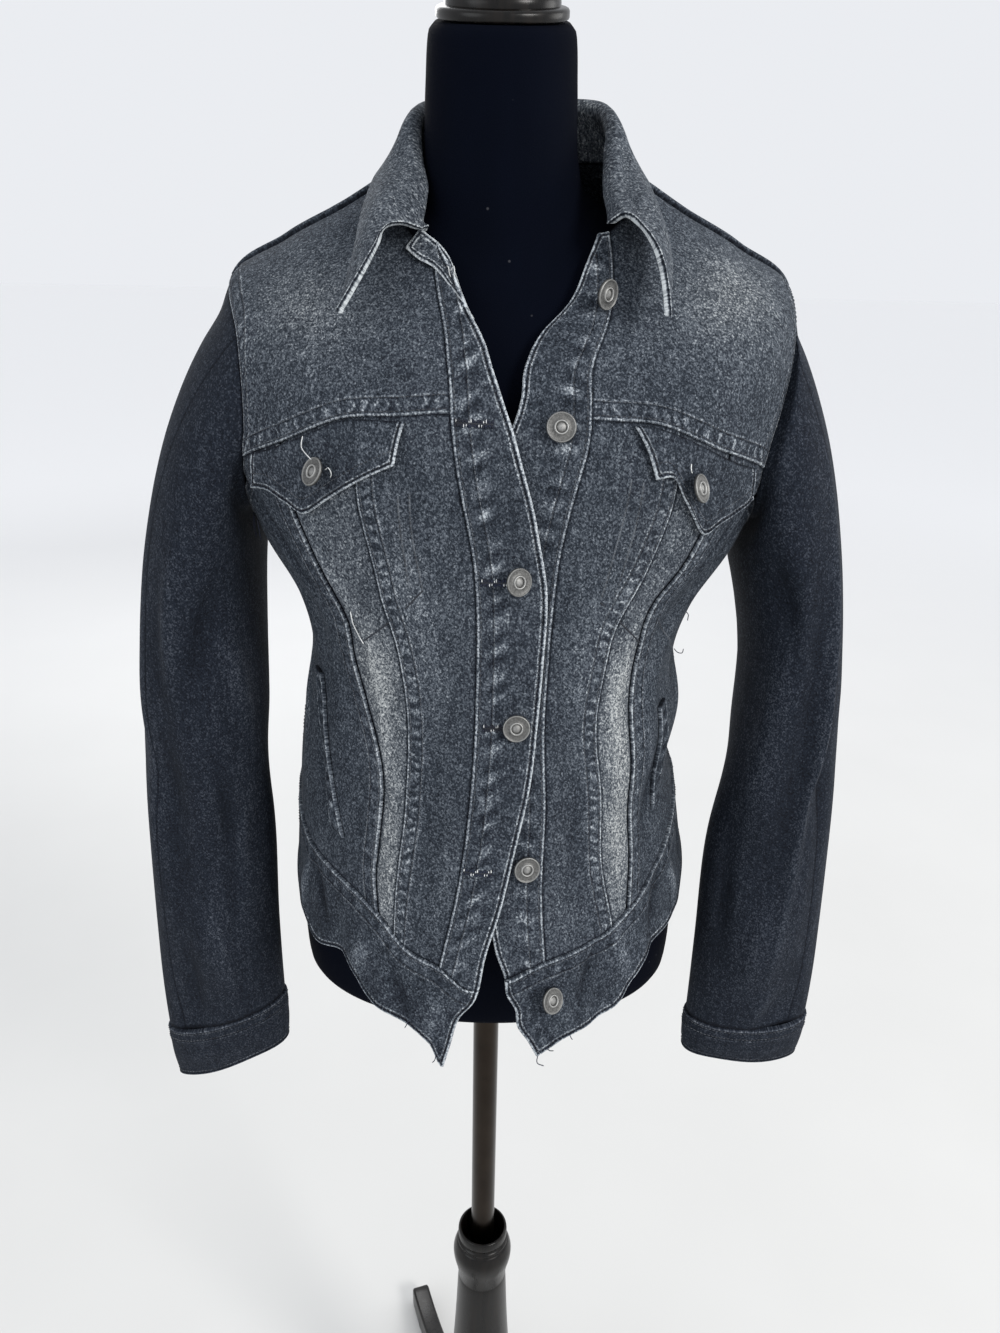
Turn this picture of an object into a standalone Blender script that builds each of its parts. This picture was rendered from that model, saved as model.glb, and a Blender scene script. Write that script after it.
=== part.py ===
"""Denim jacket on a limbless dress form with a telescopic pole and a three-legged wooden stand.

The cloth is built as thin closed walls. A smooth torso surface is read from a table of rings, and
every panel is a patch of it between two seams, so neighbours meet along the same line with a seam
gap. Metres, +Z up, the jacket faces -Y. _r is the wearer's right (-X) and _l the wearer's left.
"""

import math
from collections import namedtuple

import bmesh
import bpy
from mathutils import Matrix, Vector

# ---------------------------------------------------------------- driving dimensions (metres)

AXIS_Y = -0.028            # the pole stands here, so that the whole object is centred on the origin
SEAM_GAP = 0.0003          # air left between two pieces that meet
DENIM = 0.0013             # one layer of denim
FOLDED_DENIM = 0.0020      # a faced piece: placket, flap, collar
BAND_DENIM = 0.0026        # waistband and cuffs, with the seam allowances inside

POLE_RADIUS = 0.0110
POLE_FOOT_Z = 0.3000
FORM_FOOT_Z = 0.8150
STEM_TOP_Z = 0.4780
STEM_FOOT_Z = 0.0550
BORE_RADIUS = 0.0119
BORE_FLOOR_Z = 0.1700
RECESS_RADIUS = 0.0205
RECESS_FLOOR_Z = 0.4400

LEG_REACH = 0.2680
LEG_THICKNESS = 0.0220
LEG_ROOT_RADIUS = 0.0300
LEG_ANGLES = (109.0, 229.0, 349.0)     # degrees about the pole, from +X

BUTTON_RADIUS = 0.0085

# ---------------------------------------------------------------- tables

Ring = namedtuple("Ring", "level z_front z_side z_back half_r half_l front back square")

# The jacket's torso surface, from the neckline (0) down to the hem (11). It hangs a little to one
# side, so each side has its own half width.
TORSO = [
    Ring(0.0, 1.350, 1.397, 1.408, 0.066, 0.084, 0.063, 0.056, 2.00),
    Ring(1.0, 1.316, 1.379, 1.388, 0.097, 0.115, 0.090, 0.078, 2.05),
    Ring(2.0, 1.291, 1.360, 1.362, 0.134, 0.151, 0.108, 0.096, 2.15),
    Ring(3.0, 1.262, 1.333, 1.328, 0.171, 0.186, 0.119, 0.106, 2.30),
    Ring(4.0, 1.225, 1.258, 1.270, 0.176, 0.186, 0.122, 0.109, 2.40),
    Ring(5.0, 1.176, 1.188, 1.198, 0.160, 0.168, 0.121, 0.105, 2.35),
    Ring(6.0, 1.130, 1.142, 1.148, 0.136, 0.141, 0.126, 0.095, 2.25),
    Ring(7.0, 1.083, 1.102, 1.104, 0.128, 0.130, 0.133, 0.087, 2.15),
    Ring(8.0, 1.030, 1.064, 1.062, 0.134, 0.135, 0.145, 0.089, 2.10),
    Ring(9.0, 0.976, 1.026, 1.022, 0.140, 0.130, 0.156, 0.096, 2.10),
    Ring(10.0, 0.921, 0.988, 0.982, 0.143, 0.139, 0.167, 0.102, 2.10),
    Ring(11.0, 0.857, 0.926, 0.924, 0.147, 0.150, 0.183, 0.107, 2.10),
]

# The dress form's own surface, from its foot up to the top of the neck.
FORM = [
    Ring(0.0, 0.815, 0.815, 0.815, 0.141, 0.141, 0.093, 0.093, 2.10),
    Ring(0.4, 0.824, 0.824, 0.824, 0.147, 0.147, 0.099, 0.098, 2.10),
    Ring(1.0, 0.870, 0.870, 0.870, 0.148, 0.148, 0.106, 0.100, 2.10),
    Ring(2.0, 0.940, 0.945, 0.950, 0.138, 0.138, 0.104, 0.094, 2.10),
    Ring(3.0, 1.010, 1.015, 1.015, 0.122, 0.122, 0.098, 0.082, 2.10),
    Ring(4.0, 1.075, 1.080, 1.080, 0.113, 0.113, 0.096, 0.076, 2.10),
    Ring(5.0, 1.130, 1.135, 1.135, 0.121, 0.121, 0.104, 0.080, 2.15),
    Ring(6.0, 1.185, 1.190, 1.195, 0.137, 0.137, 0.111, 0.090, 2.25),
    Ring(7.0, 1.225, 1.245, 1.255, 0.154, 0.154, 0.110, 0.096, 2.40),
    Ring(8.0, 1.256, 1.300, 1.300, 0.163, 0.163, 0.106, 0.095, 2.40),
    Ring(9.0, 1.277, 1.332, 1.327, 0.156, 0.156, 0.101, 0.090, 2.30),
    Ring(10.0, 1.298, 1.352, 1.350, 0.133, 0.133, 0.091, 0.081, 2.15),
    Ring(11.0, 1.325, 1.368, 1.376, 0.090, 0.090, 0.071, 0.064, 2.05),
    Ring(12.0, 1.355, 1.384, 1.396, 0.057, 0.057, 0.056, 0.049, 2.00),
    Ring(13.0, 1.392, 1.408, 1.424, 0.0475, 0.0475, 0.054, 0.042, 2.00),
    Ring(14.0, 1.432, 1.444, 1.456, 0.0455, 0.0455, 0.053, 0.037, 2.00),
    Ring(15.0, 1.463, 1.473, 1.483, 0.0435, 0.0435, 0.053, 0.032, 2.00),
    Ring(15.3, 1.468, 1.478, 1.488, 0.0400, 0.0400, 0.050, 0.029, 2.00),
]

Seam = namedtuple("Seam", "level turn")

# Seams run down the front. turn is the share of half a turn from the centre front.
PLACKET_SEAM_R = [Seam(0.25, -0.165), Seam(1.1, -0.094), Seam(1.9, -0.059), Seam(2.7, -0.038),
                  Seam(3.9, -0.022), Seam(5.0, -0.012), Seam(6.6, -0.016), Seam(7.8, -0.023),
                  Seam(8.9, -0.037), Seam(9.9, -0.060), Seam(11.0, -0.090)]
PLACKET_SEAM_L = [Seam(0.1, 0.268), Seam(1.1, 0.184), Seam(1.9, 0.116), Seam(2.6, 0.088),
                  Seam(3.4, 0.072), Seam(4.2, 0.059), Seam(5.0, 0.057), Seam(6.3, 0.072),
                  Seam(7.8, 0.081), Seam(9.9, 0.086), Seam(11.0, 0.096)]
FRONT_EDGE_R = [Seam(0.04, -0.175), Seam(0.3, -0.113), Seam(0.7, -0.064), Seam(1.2, -0.023),
                Seam(1.8, -0.004), Seam(2.8, 0.010), Seam(3.7, 0.020), Seam(4.5, 0.034),
                Seam(5.1, 0.048), Seam(5.9, 0.060), Seam(6.8, 0.065), Seam(7.5, 0.060),
                Seam(8.3, 0.042), Seam(9.1, 0.022), Seam(9.7, 0.002), Seam(10.12, -0.006),
                Seam(10.28, -0.013), Seam(10.47, -0.032), Seam(10.76, -0.043), Seam(11.0, -0.052)]
FRONT_EDGE_L = [Seam(0.0, 0.245), Seam(0.3, 0.186), Seam(0.7, 0.132), Seam(1.1, 0.068),
                Seam(1.7, 0.035), Seam(2.4, 0.022), Seam(3.3, 0.004), Seam(4.2, -0.008),
                Seam(5.1, -0.012), Seam(6.0, -0.012), Seam(7.0, -0.009), Seam(8.0, -0.006),
                Seam(9.0, 0.000), Seam(9.7, 0.013), Seam(10.02, 0.026), Seam(10.2, 0.029),
                Seam(10.37, 0.041), Seam(10.55, 0.044), Seam(10.72, 0.058), Seam(11.0, 0.076)]
INNER_SEAM_R = [Seam(2.9, -0.122), Seam(4.0, -0.126), Seam(5.0, -0.124), Seam(5.5, -0.127),
                Seam(6.2, -0.124), Seam(8.0, -0.121), Seam(9.2, -0.131), Seam(10.0, -0.133)]
INNER_SEAM_L = [Seam(3.2, 0.168), Seam(4.2, 0.173), Seam(5.0, 0.167), Seam(5.7, 0.159),
                Seam(6.4, 0.165), Seam(7.5, 0.168), Seam(8.8, 0.187), Seam(10.0, 0.203)]
OUTER_SEAM_R = [Seam(3.6, -0.236), Seam(4.4, -0.230), Seam(5.1, -0.218), Seam(5.8, -0.210),
                Seam(6.4, -0.219), Seam(7.0, -0.203), Seam(7.8, -0.165), Seam(8.6, -0.164),
                Seam(9.2, -0.168), Seam(10.0, -0.157)]
OUTER_SEAM_L = [Seam(3.8, 0.252), Seam(4.6, 0.240), Seam(5.0, 0.231), Seam(5.5, 0.210),
                Seam(6.2, 0.226), Seam(7.0, 0.238), Seam(8.3, 0.242), Seam(9.2, 0.258),
                Seam(10.0, 0.237)]
BACK_SEAM = [Seam(3.9, 0.760), Seam(5.5, 0.790), Seam(7.5, 0.830), Seam(10.0, 0.850)]

# The armhole, from the shoulder tip down to the underarm, on the fronts and on the back.
ARMHOLE_FRONT = {
    "r": [Seam(2.92, 0.500), Seam(2.90, 0.425), Seam(3.00, 0.356), Seam(3.27, 0.320),
          Seam(3.62, 0.308), Seam(4.00, 0.318), Seam(4.30, 0.346), Seam(4.60, 0.388),
          Seam(4.83, 0.437), Seam(4.95, 0.500)],
    "l": [Seam(2.92, 0.500), Seam(2.98, 0.462), Seam(3.18, 0.432), Seam(3.46, 0.398),
          Seam(3.78, 0.366), Seam(4.08, 0.348), Seam(4.34, 0.358), Seam(4.60, 0.388),
          Seam(4.83, 0.437), Seam(4.95, 0.500)],
}
ARMHOLE_BACK = [Seam(2.92, 0.500), Seam(2.95, 0.570), Seam(3.12, 0.632), Seam(3.42, 0.672),
                Seam(3.78, 0.684), Seam(4.12, 0.672), Seam(4.42, 0.645), Seam(4.70, 0.603),
                Seam(4.88, 0.555), Seam(4.95, 0.500)]
YOKE_FRONT_SHARE = 0.60    # share of the armhole's front that the front yoke takes
YOKE_BACK_SHARE = 0.45     # share of the armhole's back that the back yoke takes
BACK_YOKE_LEVEL = 3.95

Border = namedtuple("Border", "turn level")

# Levels of three lines that run round the front: the yoke seam (on either side, up to the armhole),
# the waistband's seam and the hem. Beyond the side seams the last two keep their end levels.
YOKE_LINE = [Border(0.000, 2.66), Border(0.050, 2.76), Border(0.090, 2.92), Border(0.140, 3.14),
             Border(0.190, 3.50), Border(0.235, 3.76)]
WAIST_LINE = [Border(-0.500, 10.00), Border(-0.340, 9.88), Border(-0.280, 9.72), Border(-0.210, 9.60),
              Border(-0.160, 9.66), Border(-0.110, 9.88), Border(-0.060, 9.96), Border(-0.020, 10.14),
              Border(0.032, 10.04), Border(0.086, 9.93), Border(0.194, 10.00), Border(0.333, 9.98),
              Border(0.500, 10.00)]
HEM_LINE = [Border(-0.500, 10.96), Border(-0.310, 10.88), Border(-0.250, 10.63),
            Border(-0.209, 10.54), Border(-0.180, 10.66), Border(-0.139, 10.67),
            Border(-0.095, 10.72), Border(-0.072, 10.80), Border(-0.056, 10.99),
            Border(0.000, 11.00), Border(0.076, 10.90), Border(0.114, 10.83), Border(0.156, 10.86),
            Border(0.203, 10.88), Border(0.230, 10.75), Border(0.271, 10.67), Border(0.345, 10.86),
            Border(0.500, 10.96)]

LAST_LEVEL = TORSO[-1].level
UNDERARM_LEVEL = 4.95
SHOULDER_TIP_LEVEL = 2.92
SIDE_TURN = 0.5             # the shoulder seam and the side seam

Fold = namedtuple("Fold", "turn level slant across along height")

# The torso's largest folds and dips: slant is the change of turn for each level.
FOLDS = [
    Fold(-0.330, 5.9, 0.030, 0.040, 0.9, -0.0045),
    Fold(-0.270, 7.4, 0.020, 0.030, 0.8, 0.0030),
    Fold(0.300, 5.7, -0.035, 0.040, 0.8, -0.0040),
    Fold(0.290, 7.3, -0.015, 0.030, 0.9, 0.0030),
    Fold(-0.240, 10.7, 0.010, 0.022, 0.6, -0.0050),
    Fold(-0.150, 10.8, -0.020, 0.020, 0.6, 0.0040),
    Fold(0.170, 10.7, 0.015, 0.022, 0.6, -0.0040),
    Fold(0.250, 10.8, -0.010, 0.022, 0.6, 0.0040),
    Fold(0.640, 6.6, 0.030, 0.040, 1.0, -0.0040),
    Fold(-0.640, 6.9, -0.030, 0.040, 1.0, -0.0040),
    Fold(0.900, 7.2, 0.010, 0.050, 1.2, -0.0030),
    Fold(-0.870, 8.9, 0.020, 0.040, 0.9, 0.0035),
    Fold(-0.560, 10.6, 0.000, 0.030, 0.7, 0.0040),
    Fold(0.570, 10.6, 0.000, 0.030, 0.7, 0.0040),
]

# Sleeve rings from the cap to the cuff seam; forward is how far the ring lies in front.
Tube = namedtuple("Tube", "outer_x outer_z inner_x inner_z forward half_depth")
SLEEVE = [
    Tube(0.1960, 1.3120, 0.1720, 1.1840, 0.000, 0.0800),
    Tube(0.2090, 1.2820, 0.1670, 1.1690, 0.000, 0.0800),
    Tube(0.2230, 1.2400, 0.1655, 1.1560, 0.001, 0.0770),
    Tube(0.2340, 1.1920, 0.1650, 1.1400, 0.003, 0.0720),
    Tube(0.2430, 1.1420, 0.1650, 1.1120, 0.006, 0.0660),
    Tube(0.2495, 1.0900, 0.1645, 1.0750, 0.011, 0.0600),
    Tube(0.2555, 1.0350, 0.1640, 1.0280, 0.017, 0.0540),
    Tube(0.2575, 0.9850, 0.1630, 0.9840, 0.022, 0.0490),
    Tube(0.2590, 0.9300, 0.1640, 0.9330, 0.028, 0.0420),
    Tube(0.2600, 0.8700, 0.1650, 0.8800, 0.034, 0.0360),
    Tube(0.2600, 0.8130, 0.1640, 0.8370, 0.040, 0.0305),
    Tube(0.2580, 0.7680, 0.1625, 0.8020, 0.045, 0.0255),
]
CUFF = [
    Tube(0.2595, 0.7675, 0.1610, 0.8015, 0.045, 0.0260),
    Tube(0.2590, 0.7400, 0.1600, 0.7770, 0.045, 0.0240),
    Tube(0.2560, 0.7140, 0.1615, 0.7560, 0.045, 0.0180),
]
CUFF_LIFT = {"r": (0.000, 0.000), "l": (0.026, -0.012)}     # of the outer and the inner end
CUFF_SHORTENING = {"r": 0.000, "l": 0.010}
SLEEVE_ROWS = 19

# The wearer's left sleeve leans away from the body below the armhole.
SLEEVE_LEAN = {"r": 0.0, "l": 0.016}
SLEEVE_LEAN_ROW = 5.0
SLEEVE_LEAN_ROWS = 2.2
UNDERARM_REACH = 0.0045    # how far the sleeve stands out under the arm before it hangs

SleeveFold = namedtuple("SleeveFold", "angle row slant across along height")

# The sleeves' largest folds: angle from the outside to the front, row down the arm.
SLEEVE_FOLDS = [
    SleeveFold(0.9, 6.6, 0.30, 0.45, 0.8, -0.0040),
    SleeveFold(2.2, 7.6, -0.30, 0.50, 0.7, -0.0035),
    SleeveFold(1.5, 9.2, 0.25, 0.40, 0.8, 0.0030),
    SleeveFold(3.6, 6.9, 0.20, 0.50, 0.9, -0.0040),
    SleeveFold(5.0, 8.0, -0.25, 0.45, 0.9, -0.0040),
    SleeveFold(4.4, 5.4, 0.25, 0.40, 0.8, 0.0030),
    SleeveFold(5.6, 10.1, 0.20, 0.40, 0.8, 0.0025),
    SleeveFold(1.1, 10.6, -0.20, 0.40, 0.7, -0.0030),
]

# The collar by station, from its front end to the centre back: where it leaves the neckline, the
# crest of its fold and its free edge; how far the fall bows out and sways forwards in its middle; and
# the half width and the drop of the roll at the fold.
CollarCut = namedtuple("CollarCut", "turn fold_x fold_y fold_z edge_x edge_y edge_z bow sway roll drop",
                       defaults=(0.0, 0.0042, 0.0042))
COLLAR_BACK = CollarCut(1.00, 0.0000, 0.0550, 1.4455, 0.0000, 0.0905, 1.3900, 0.0040)
COLLAR = {
    "r": [
        CollarCut(-0.225, -0.0550, -0.0680, 1.3680, -0.0855, -0.1080, 1.3224, 0.0040, 0.0065, 0.0120, 0.0020),
        CollarCut(-0.300, -0.0500, -0.0420, 1.3905, -0.0808, -0.0740, 1.3510, 0.0065, 0.0030, 0.0080, 0.0030),
        CollarCut(-0.380, -0.0520, -0.0210, 1.4080, -0.0790, -0.0390, 1.3765, 0.0020, 0.0000, 0.0050, 0.0040),
        CollarCut(-0.500, -0.0535, 0.0020, 1.4290, -0.0745, 0.0050, 1.3975, -0.0015),
        CollarCut(-0.700, -0.0460, 0.0370, 1.4400, -0.0670, 0.0580, 1.3990, 0.0010),
        CollarCut(-0.850, -0.0260, 0.0510, 1.4440, -0.0370, 0.0820, 1.3915, 0.0030),
        COLLAR_BACK._replace(turn=-1.00),
    ],
    "l": [
        CollarCut(0.290, 0.0715, -0.0680, 1.3745, 0.0932, -0.1080, 1.3243, 0.0080, 0.0015, 0.0085, 0.0035),
        CollarCut(0.360, 0.0680, -0.0400, 1.3920, 0.0977, -0.0720, 1.3510, 0.0080, 0.0000, 0.0062, 0.0038),
        CollarCut(0.430, 0.0680, -0.0150, 1.4110, 0.0935, -0.0380, 1.3780, 0.0020, 0.0000, 0.0048, 0.0042),
        CollarCut(0.500, 0.0690, 0.0020, 1.4270, 0.0870, 0.0000, 1.3985, -0.0010),
        CollarCut(0.660, 0.0620, 0.0300, 1.4400, 0.0830, 0.0490, 1.4010, 0.0000),
        CollarCut(0.840, 0.0350, 0.0500, 1.4440, 0.0480, 0.0790, 1.3920, 0.0030),
        COLLAR_BACK,
    ],
}
COLLAR_STEPS = 14

# Pocket flaps on the surface: corners and point as (level, turn), inner edge first.
FlapCut = namedtuple("FlapCut", "top_turn top_level low_turn low_level")
FLAPS = {
    "r": [
        FlapCut(-0.078, 2.98, -0.081, 3.62), FlapCut(-0.108, 3.05, -0.113, 3.86),
        FlapCut(-0.142, 3.18, -0.152, 4.14), FlapCut(-0.178, 3.46, -0.200, 4.42),
        FlapCut(-0.210, 3.66, -0.228, 4.36), FlapCut(-0.246, 3.84, -0.262, 4.30),
        FlapCut(-0.288, 3.99, -0.304, 4.36),
    ],
    "l": [
        FlapCut(0.119, 3.09, 0.141, 3.85), FlapCut(0.140, 3.19, 0.163, 3.88),
        FlapCut(0.165, 3.37, 0.184, 4.18), FlapCut(0.198, 3.60, 0.228, 4.60),
        FlapCut(0.232, 3.80, 0.256, 4.54), FlapCut(0.266, 3.95, 0.290, 4.48),
        FlapCut(0.305, 4.08, 0.326, 4.42),
    ],
}
FLAP_LIFT = 0.0030

WELTS = {"r": (Seam(7.08, -0.350), Seam(9.00, -0.246)), "l": (Seam(7.40, 0.326), Seam(9.15, 0.341))}
WELT_TURN = 0.0150
WELT_DENIM = 0.0012

# Buttons on the torso: where each one sits, how far the cloth under it is lifted, and how far the
# button hangs aside (towards the wearer's left) and nods (upwards), in degrees.
ButtonSpot = namedtuple("ButtonSpot", "name level turn lift aside nod")
BUTTONS = [
    ButtonSpot("front_button_1", 0.96, 0.174, 0.0004, 41.0, -46.0),
    ButtonSpot("front_button_2", 2.95, 0.051, 0.0004, 0.0, 0.0),
    ButtonSpot("front_button_3", 4.98, 0.018, 0.0034, 30.0, 8.0),
    ButtonSpot("front_button_4", 6.95, 0.034, 0.0034, 0.0, 0.0),
    ButtonSpot("front_button_5", 8.68, 0.056, 0.0004, 6.0, 0.0),
    ButtonSpot("front_button_6", 10.33, 0.089, 0.0016, 28.0, 9.0),
    ButtonSpot("pocket_button_r", 3.89, -0.167, 0.0040, -26.0, 24.0),
    ButtonSpot("pocket_button_l", 4.03, 0.190, 0.0040, 33.0, 20.0),
]

# ---------------------------------------------------------------- scene, materials


def clear_scene():
    for item in list(bpy.data.objects):
        bpy.data.objects.remove(item, do_unlink=True)


def make_material(name, color, roughness, metallic=0.0):
    material = bpy.data.materials.new(name)
    material.use_nodes = True
    shader = material.node_tree.nodes["Principled BSDF"]
    shader.inputs["Base Color"].default_value = (*color, 1.0)
    shader.inputs["Roughness"].default_value = roughness
    shader.inputs["Metallic"].default_value = metallic
    return material


clear_scene()
PARTS = bpy.data.collections.new("denim_jacket_on_form")
bpy.context.scene.collection.children.link(PARTS)
DENIM_BODY = make_material("washed_black_denim", (0.060, 0.065, 0.075), 0.85)
DENIM_SLEEVE = make_material("dark_sleeve_denim", (0.030, 0.034, 0.042), 0.85)
VELVET = make_material("black_velvet", (0.006, 0.006, 0.008), 0.95)
BUTTON_METAL = make_material("aged_button_metal", (0.20, 0.18, 0.16), 0.40, 1.0)
POLE_METAL = make_material("bronze_pole_metal", (0.045, 0.035, 0.028), 0.25, 1.0)
LACQUER = make_material("black_lacquered_wood", (0.012, 0.010, 0.009), 0.20)

# ---------------------------------------------------------------- curves and surfaces


def smooth_row(table, place):
    """The table's other columns at a place in its first one, along a smooth curve through its rows."""
    last = len(table) - 1
    at = 0
    while at < last - 1 and table[at + 1][0] < place:
        at += 1
    step = table[at + 1][0] - table[at][0]
    share = (place - table[at][0]) / step
    square, cube = share * share, share ** 3
    values = []
    for column in range(1, len(table[0])):

        def slope(row):
            before, after = max(row - 1, 0), min(row + 1, last)
            rise = table[after][column] - table[before][column]
            return rise / (table[after][0] - table[before][0])

        start, end = table[at][column], table[at + 1][column]
        values.append((2 * cube - 3 * square + 1) * start + (cube - 2 * square + share) * step * slope(at)
                      + (3 * square - 2 * cube) * end + (cube - square) * step * slope(at + 1))
    return values


def ring_point(table, turn, level):
    """A point of a ring: a rounded oval whose height changes from front to back."""
    z_front, z_side, z_back, half_r, half_l, front, back, square = smooth_row(table, level)
    angle = math.pi * turn
    sine, cosine = math.sin(angle), math.cos(angle)
    across = math.copysign(abs(sine) ** (2.0 / square), sine)
    along = math.copysign(abs(cosine) ** (2.0 / square), cosine)
    half_width = half_l if sine > 0.0 else half_r
    depth = front if cosine > 0.0 else back
    tilt = (z_front - z_back) / 2.0 * cosine
    bend = ((z_front + z_back) / 2.0 - z_side) * cosine * cosine
    return Vector((half_width * across, -depth * along, z_side + tilt + bend))


def fold_height(turn, level):
    """How far the folds lift the torso surface at a place."""
    total = 0.0
    for fold in FOLDS:
        away = (turn - fold.turn - fold.slant * (level - fold.level) + 1.0) % 2.0 - 1.0
        across = away / fold.across
        along = (level - fold.level) / fold.along
        total += fold.height * math.exp(-across * across - along * along)
    return total


def surface_normal(shape, turn, level, reach=0.002):
    """Outward normal of a surface given as shape(turn, level)."""
    around = shape(turn + reach, level) - shape(turn - reach, level)
    low, high = max(level - reach, 0.0), min(level + reach, LAST_LEVEL)
    down = shape(turn, high) - shape(turn, low)
    return down.cross(around).normalized()


def bare_torso(turn, level):
    return ring_point(TORSO, turn, level)


def torso(turn, level):
    """The jacket's torso surface with its folds."""
    return bare_torso(turn, level) + surface_normal(bare_torso, turn, level) * fold_height(turn, level)


def torso_normal(turn, level):
    return surface_normal(torso, turn, level)


def clamped_row(table, place):
    """A two-column table's value at a place, held at its ends."""
    if place <= table[0][0]:
        return table[0][1]
    if place >= table[-1][0]:
        return table[-1][1]
    return smooth_row(table, place)[0]


def seam_at(seam, level):
    """A seam's turn at a level."""
    return clamped_row(seam, level)


def front_turn(turn):
    """A turn brought into the range from -1 to 1."""
    return (turn + 1.0) % 2.0 - 1.0


def waist_level(turn):
    return clamped_row(WAIST_LINE, front_turn(turn))


def hem_level(turn):
    return clamped_row(HEM_LINE, front_turn(turn))


def line_through(stops, share):
    """A place (turn, level) at a share of the way along a chain of stops, by index."""
    place = share * (len(stops) - 1)
    at = min(int(place), len(stops) - 2)
    part = place - at
    before, after = max(at - 1, 0), min(at + 2, len(stops) - 1)

    def blend(a, b, c, d):
        left = (c - a) / 2.0 if before < at else c - b
        right = (d - b) / 2.0 if after > at + 1 else c - b
        square, cube = part * part, part ** 3
        return ((2 * cube - 3 * square + 1) * b + (cube - 2 * square + part) * left
                + (3 * square - 2 * cube) * c + (cube - square) * right)

    rows = [stops[before], stops[at], stops[at + 1], stops[after]]
    return blend(*[row.turn for row in rows]), blend(*[row.level for row in rows])


def shares(count, start=0.0, end=1.0):
    return [start + (end - start) * step / count for step in range(count + 1)]


def yoke_level(turn):
    """The front yoke seam drops from the placket to the armhole."""
    side = "r" if turn < 0.0 else "l"
    end_turn, end_level = line_through(ARMHOLE_FRONT[side], YOKE_FRONT_SHARE)
    return clamped_row(YOKE_LINE + [Border(end_turn, end_level)], abs(turn))


# ---------------------------------------------------------------- closed walls


def coons(left, right, top, bottom):
    """Places inside four border lines: rows run from top to bottom, columns from left to right."""
    rows, columns = len(left) - 1, len(top) - 1
    grid = []
    for row in range(rows + 1):
        s = row / rows
        line = []
        for column in range(columns + 1):
            t = column / columns
            place = []
            for axis in (0, 1):
                across = (1 - t) * left[row][axis] + t * right[row][axis]
                along = (1 - s) * top[column][axis] + s * bottom[column][axis]
                corners = ((1 - s) * (1 - t) * top[0][axis] + (1 - s) * t * top[-1][axis]
                           + s * (1 - t) * bottom[0][axis] + s * t * bottom[-1][axis])
                place.append(across + along - corners)
            line.append(tuple(place))
        grid.append(line)
    return grid


def draw_in(grid, distance, sides=(True, True, True, True)):
    """Moves of a grid's border points towards its inside: top, bottom, left, right."""
    rows, columns = len(grid), len(grid[0])
    moves = [[Vector() for _ in range(columns)] for _ in range(rows)]
    for column in range(columns):
        if sides[0]:
            moves[0][column] += (grid[1][column] - grid[0][column]).normalized() * distance
        if sides[1]:
            moves[-1][column] += (grid[-2][column] - grid[-1][column]).normalized() * distance
    for row in range(rows):
        if sides[2]:
            moves[row][0] += (grid[row][1] - grid[row][0]).normalized() * distance
        if sides[3]:
            moves[row][-1] += (grid[row][-2] - grid[row][-1]).normalized() * distance
    return moves


def new_object(name, mesh, material):
    item = bpy.data.objects.new(name, mesh)
    mesh.materials.append(material)
    PARTS.objects.link(item)
    return item


def place_on_axis(item):
    """Puts an object that was modelled about the pole where the pole stands."""
    item.location.y += AXIS_Y
    return item


def make_wall(name, outer, inner, material, closed=False):
    """A closed wall between two grids of points; closed joins the last column to the first."""
    rows, columns = len(outer), len(outer[0])
    work = bmesh.new()
    skins = [[[work.verts.new(point) for point in line] for line in grid] for grid in (outer, inner)]
    ends = columns if closed else columns - 1
    for row in range(rows - 1):
        for column in range(ends):
            after = (column + 1) % columns
            for skin in skins:
                work.faces.new((skin[row][column], skin[row][after],
                                skin[row + 1][after], skin[row + 1][column]))
    for row in (0, rows - 1):
        for column in range(ends):
            after = (column + 1) % columns
            work.faces.new((skins[0][row][column], skins[0][row][after],
                            skins[1][row][after], skins[1][row][column]))
    if not closed:
        for column in (0, columns - 1):
            for row in range(rows - 1):
                work.faces.new((skins[0][row][column], skins[0][row + 1][column],
                                skins[1][row + 1][column], skins[1][row][column]))
    bmesh.ops.recalc_face_normals(work, faces=work.faces)
    if work.calc_volume(signed=True) < 0.0:
        bmesh.ops.reverse_faces(work, faces=work.faces)
    mesh = bpy.data.meshes.new(name)
    work.to_mesh(mesh)
    work.free()
    mesh.shade_smooth()
    mesh.set_sharp_from_angle(angle=math.radians(50.0))
    return place_on_axis(new_object(name, mesh, material))


def torso_piece(name, places, lift=None, thickness=DENIM):
    """A wall on the torso surface. lift(row share, column share) moves it out from the surface."""
    rows, columns = len(places) - 1, len(places[0]) - 1
    outer, inner = [], []
    for row, line in enumerate(places):
        outer_line, inner_line = [], []
        for column, (turn, level) in enumerate(line):
            away = lift(row / rows, column / columns) if lift else 0.0
            normal = torso_normal(turn, level)
            point = torso(turn, level)
            outer_line.append(point + normal * away)
            inner_line.append(point + normal * (away - thickness))
        outer.append(outer_line)
        inner.append(inner_line)
    moves = draw_in(outer, SEAM_GAP / 2.0)
    for row in range(rows + 1):
        for column in range(columns + 1):
            outer[row][column] += moves[row][column]
            inner[row][column] += moves[row][column]
    return make_wall(name, outer, inner, DENIM_BODY)


# ---------------------------------------------------------------- torso panels

YOKE_ROWS = 7
ARMHOLE_ROWS = 4           # rows of the front side panel along the armhole
SIDE_ROWS = 12             # rows from the underarm down to the waistband
BACK_YOKE_ROWS = 4
BACK_ARMHOLE_ROWS = 5
SHOULDER_COLUMNS = 4
NECK_COLUMNS = 6
PLACKET_COLUMNS = 2
CENTRE_COLUMNS = 3
WEDGE_COLUMNS = 2
SIDE_COLUMNS = 5
BACK_SIDE_COLUMNS = 5
BACK_COLUMNS = 7
BAND_ROWS = 4

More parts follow.
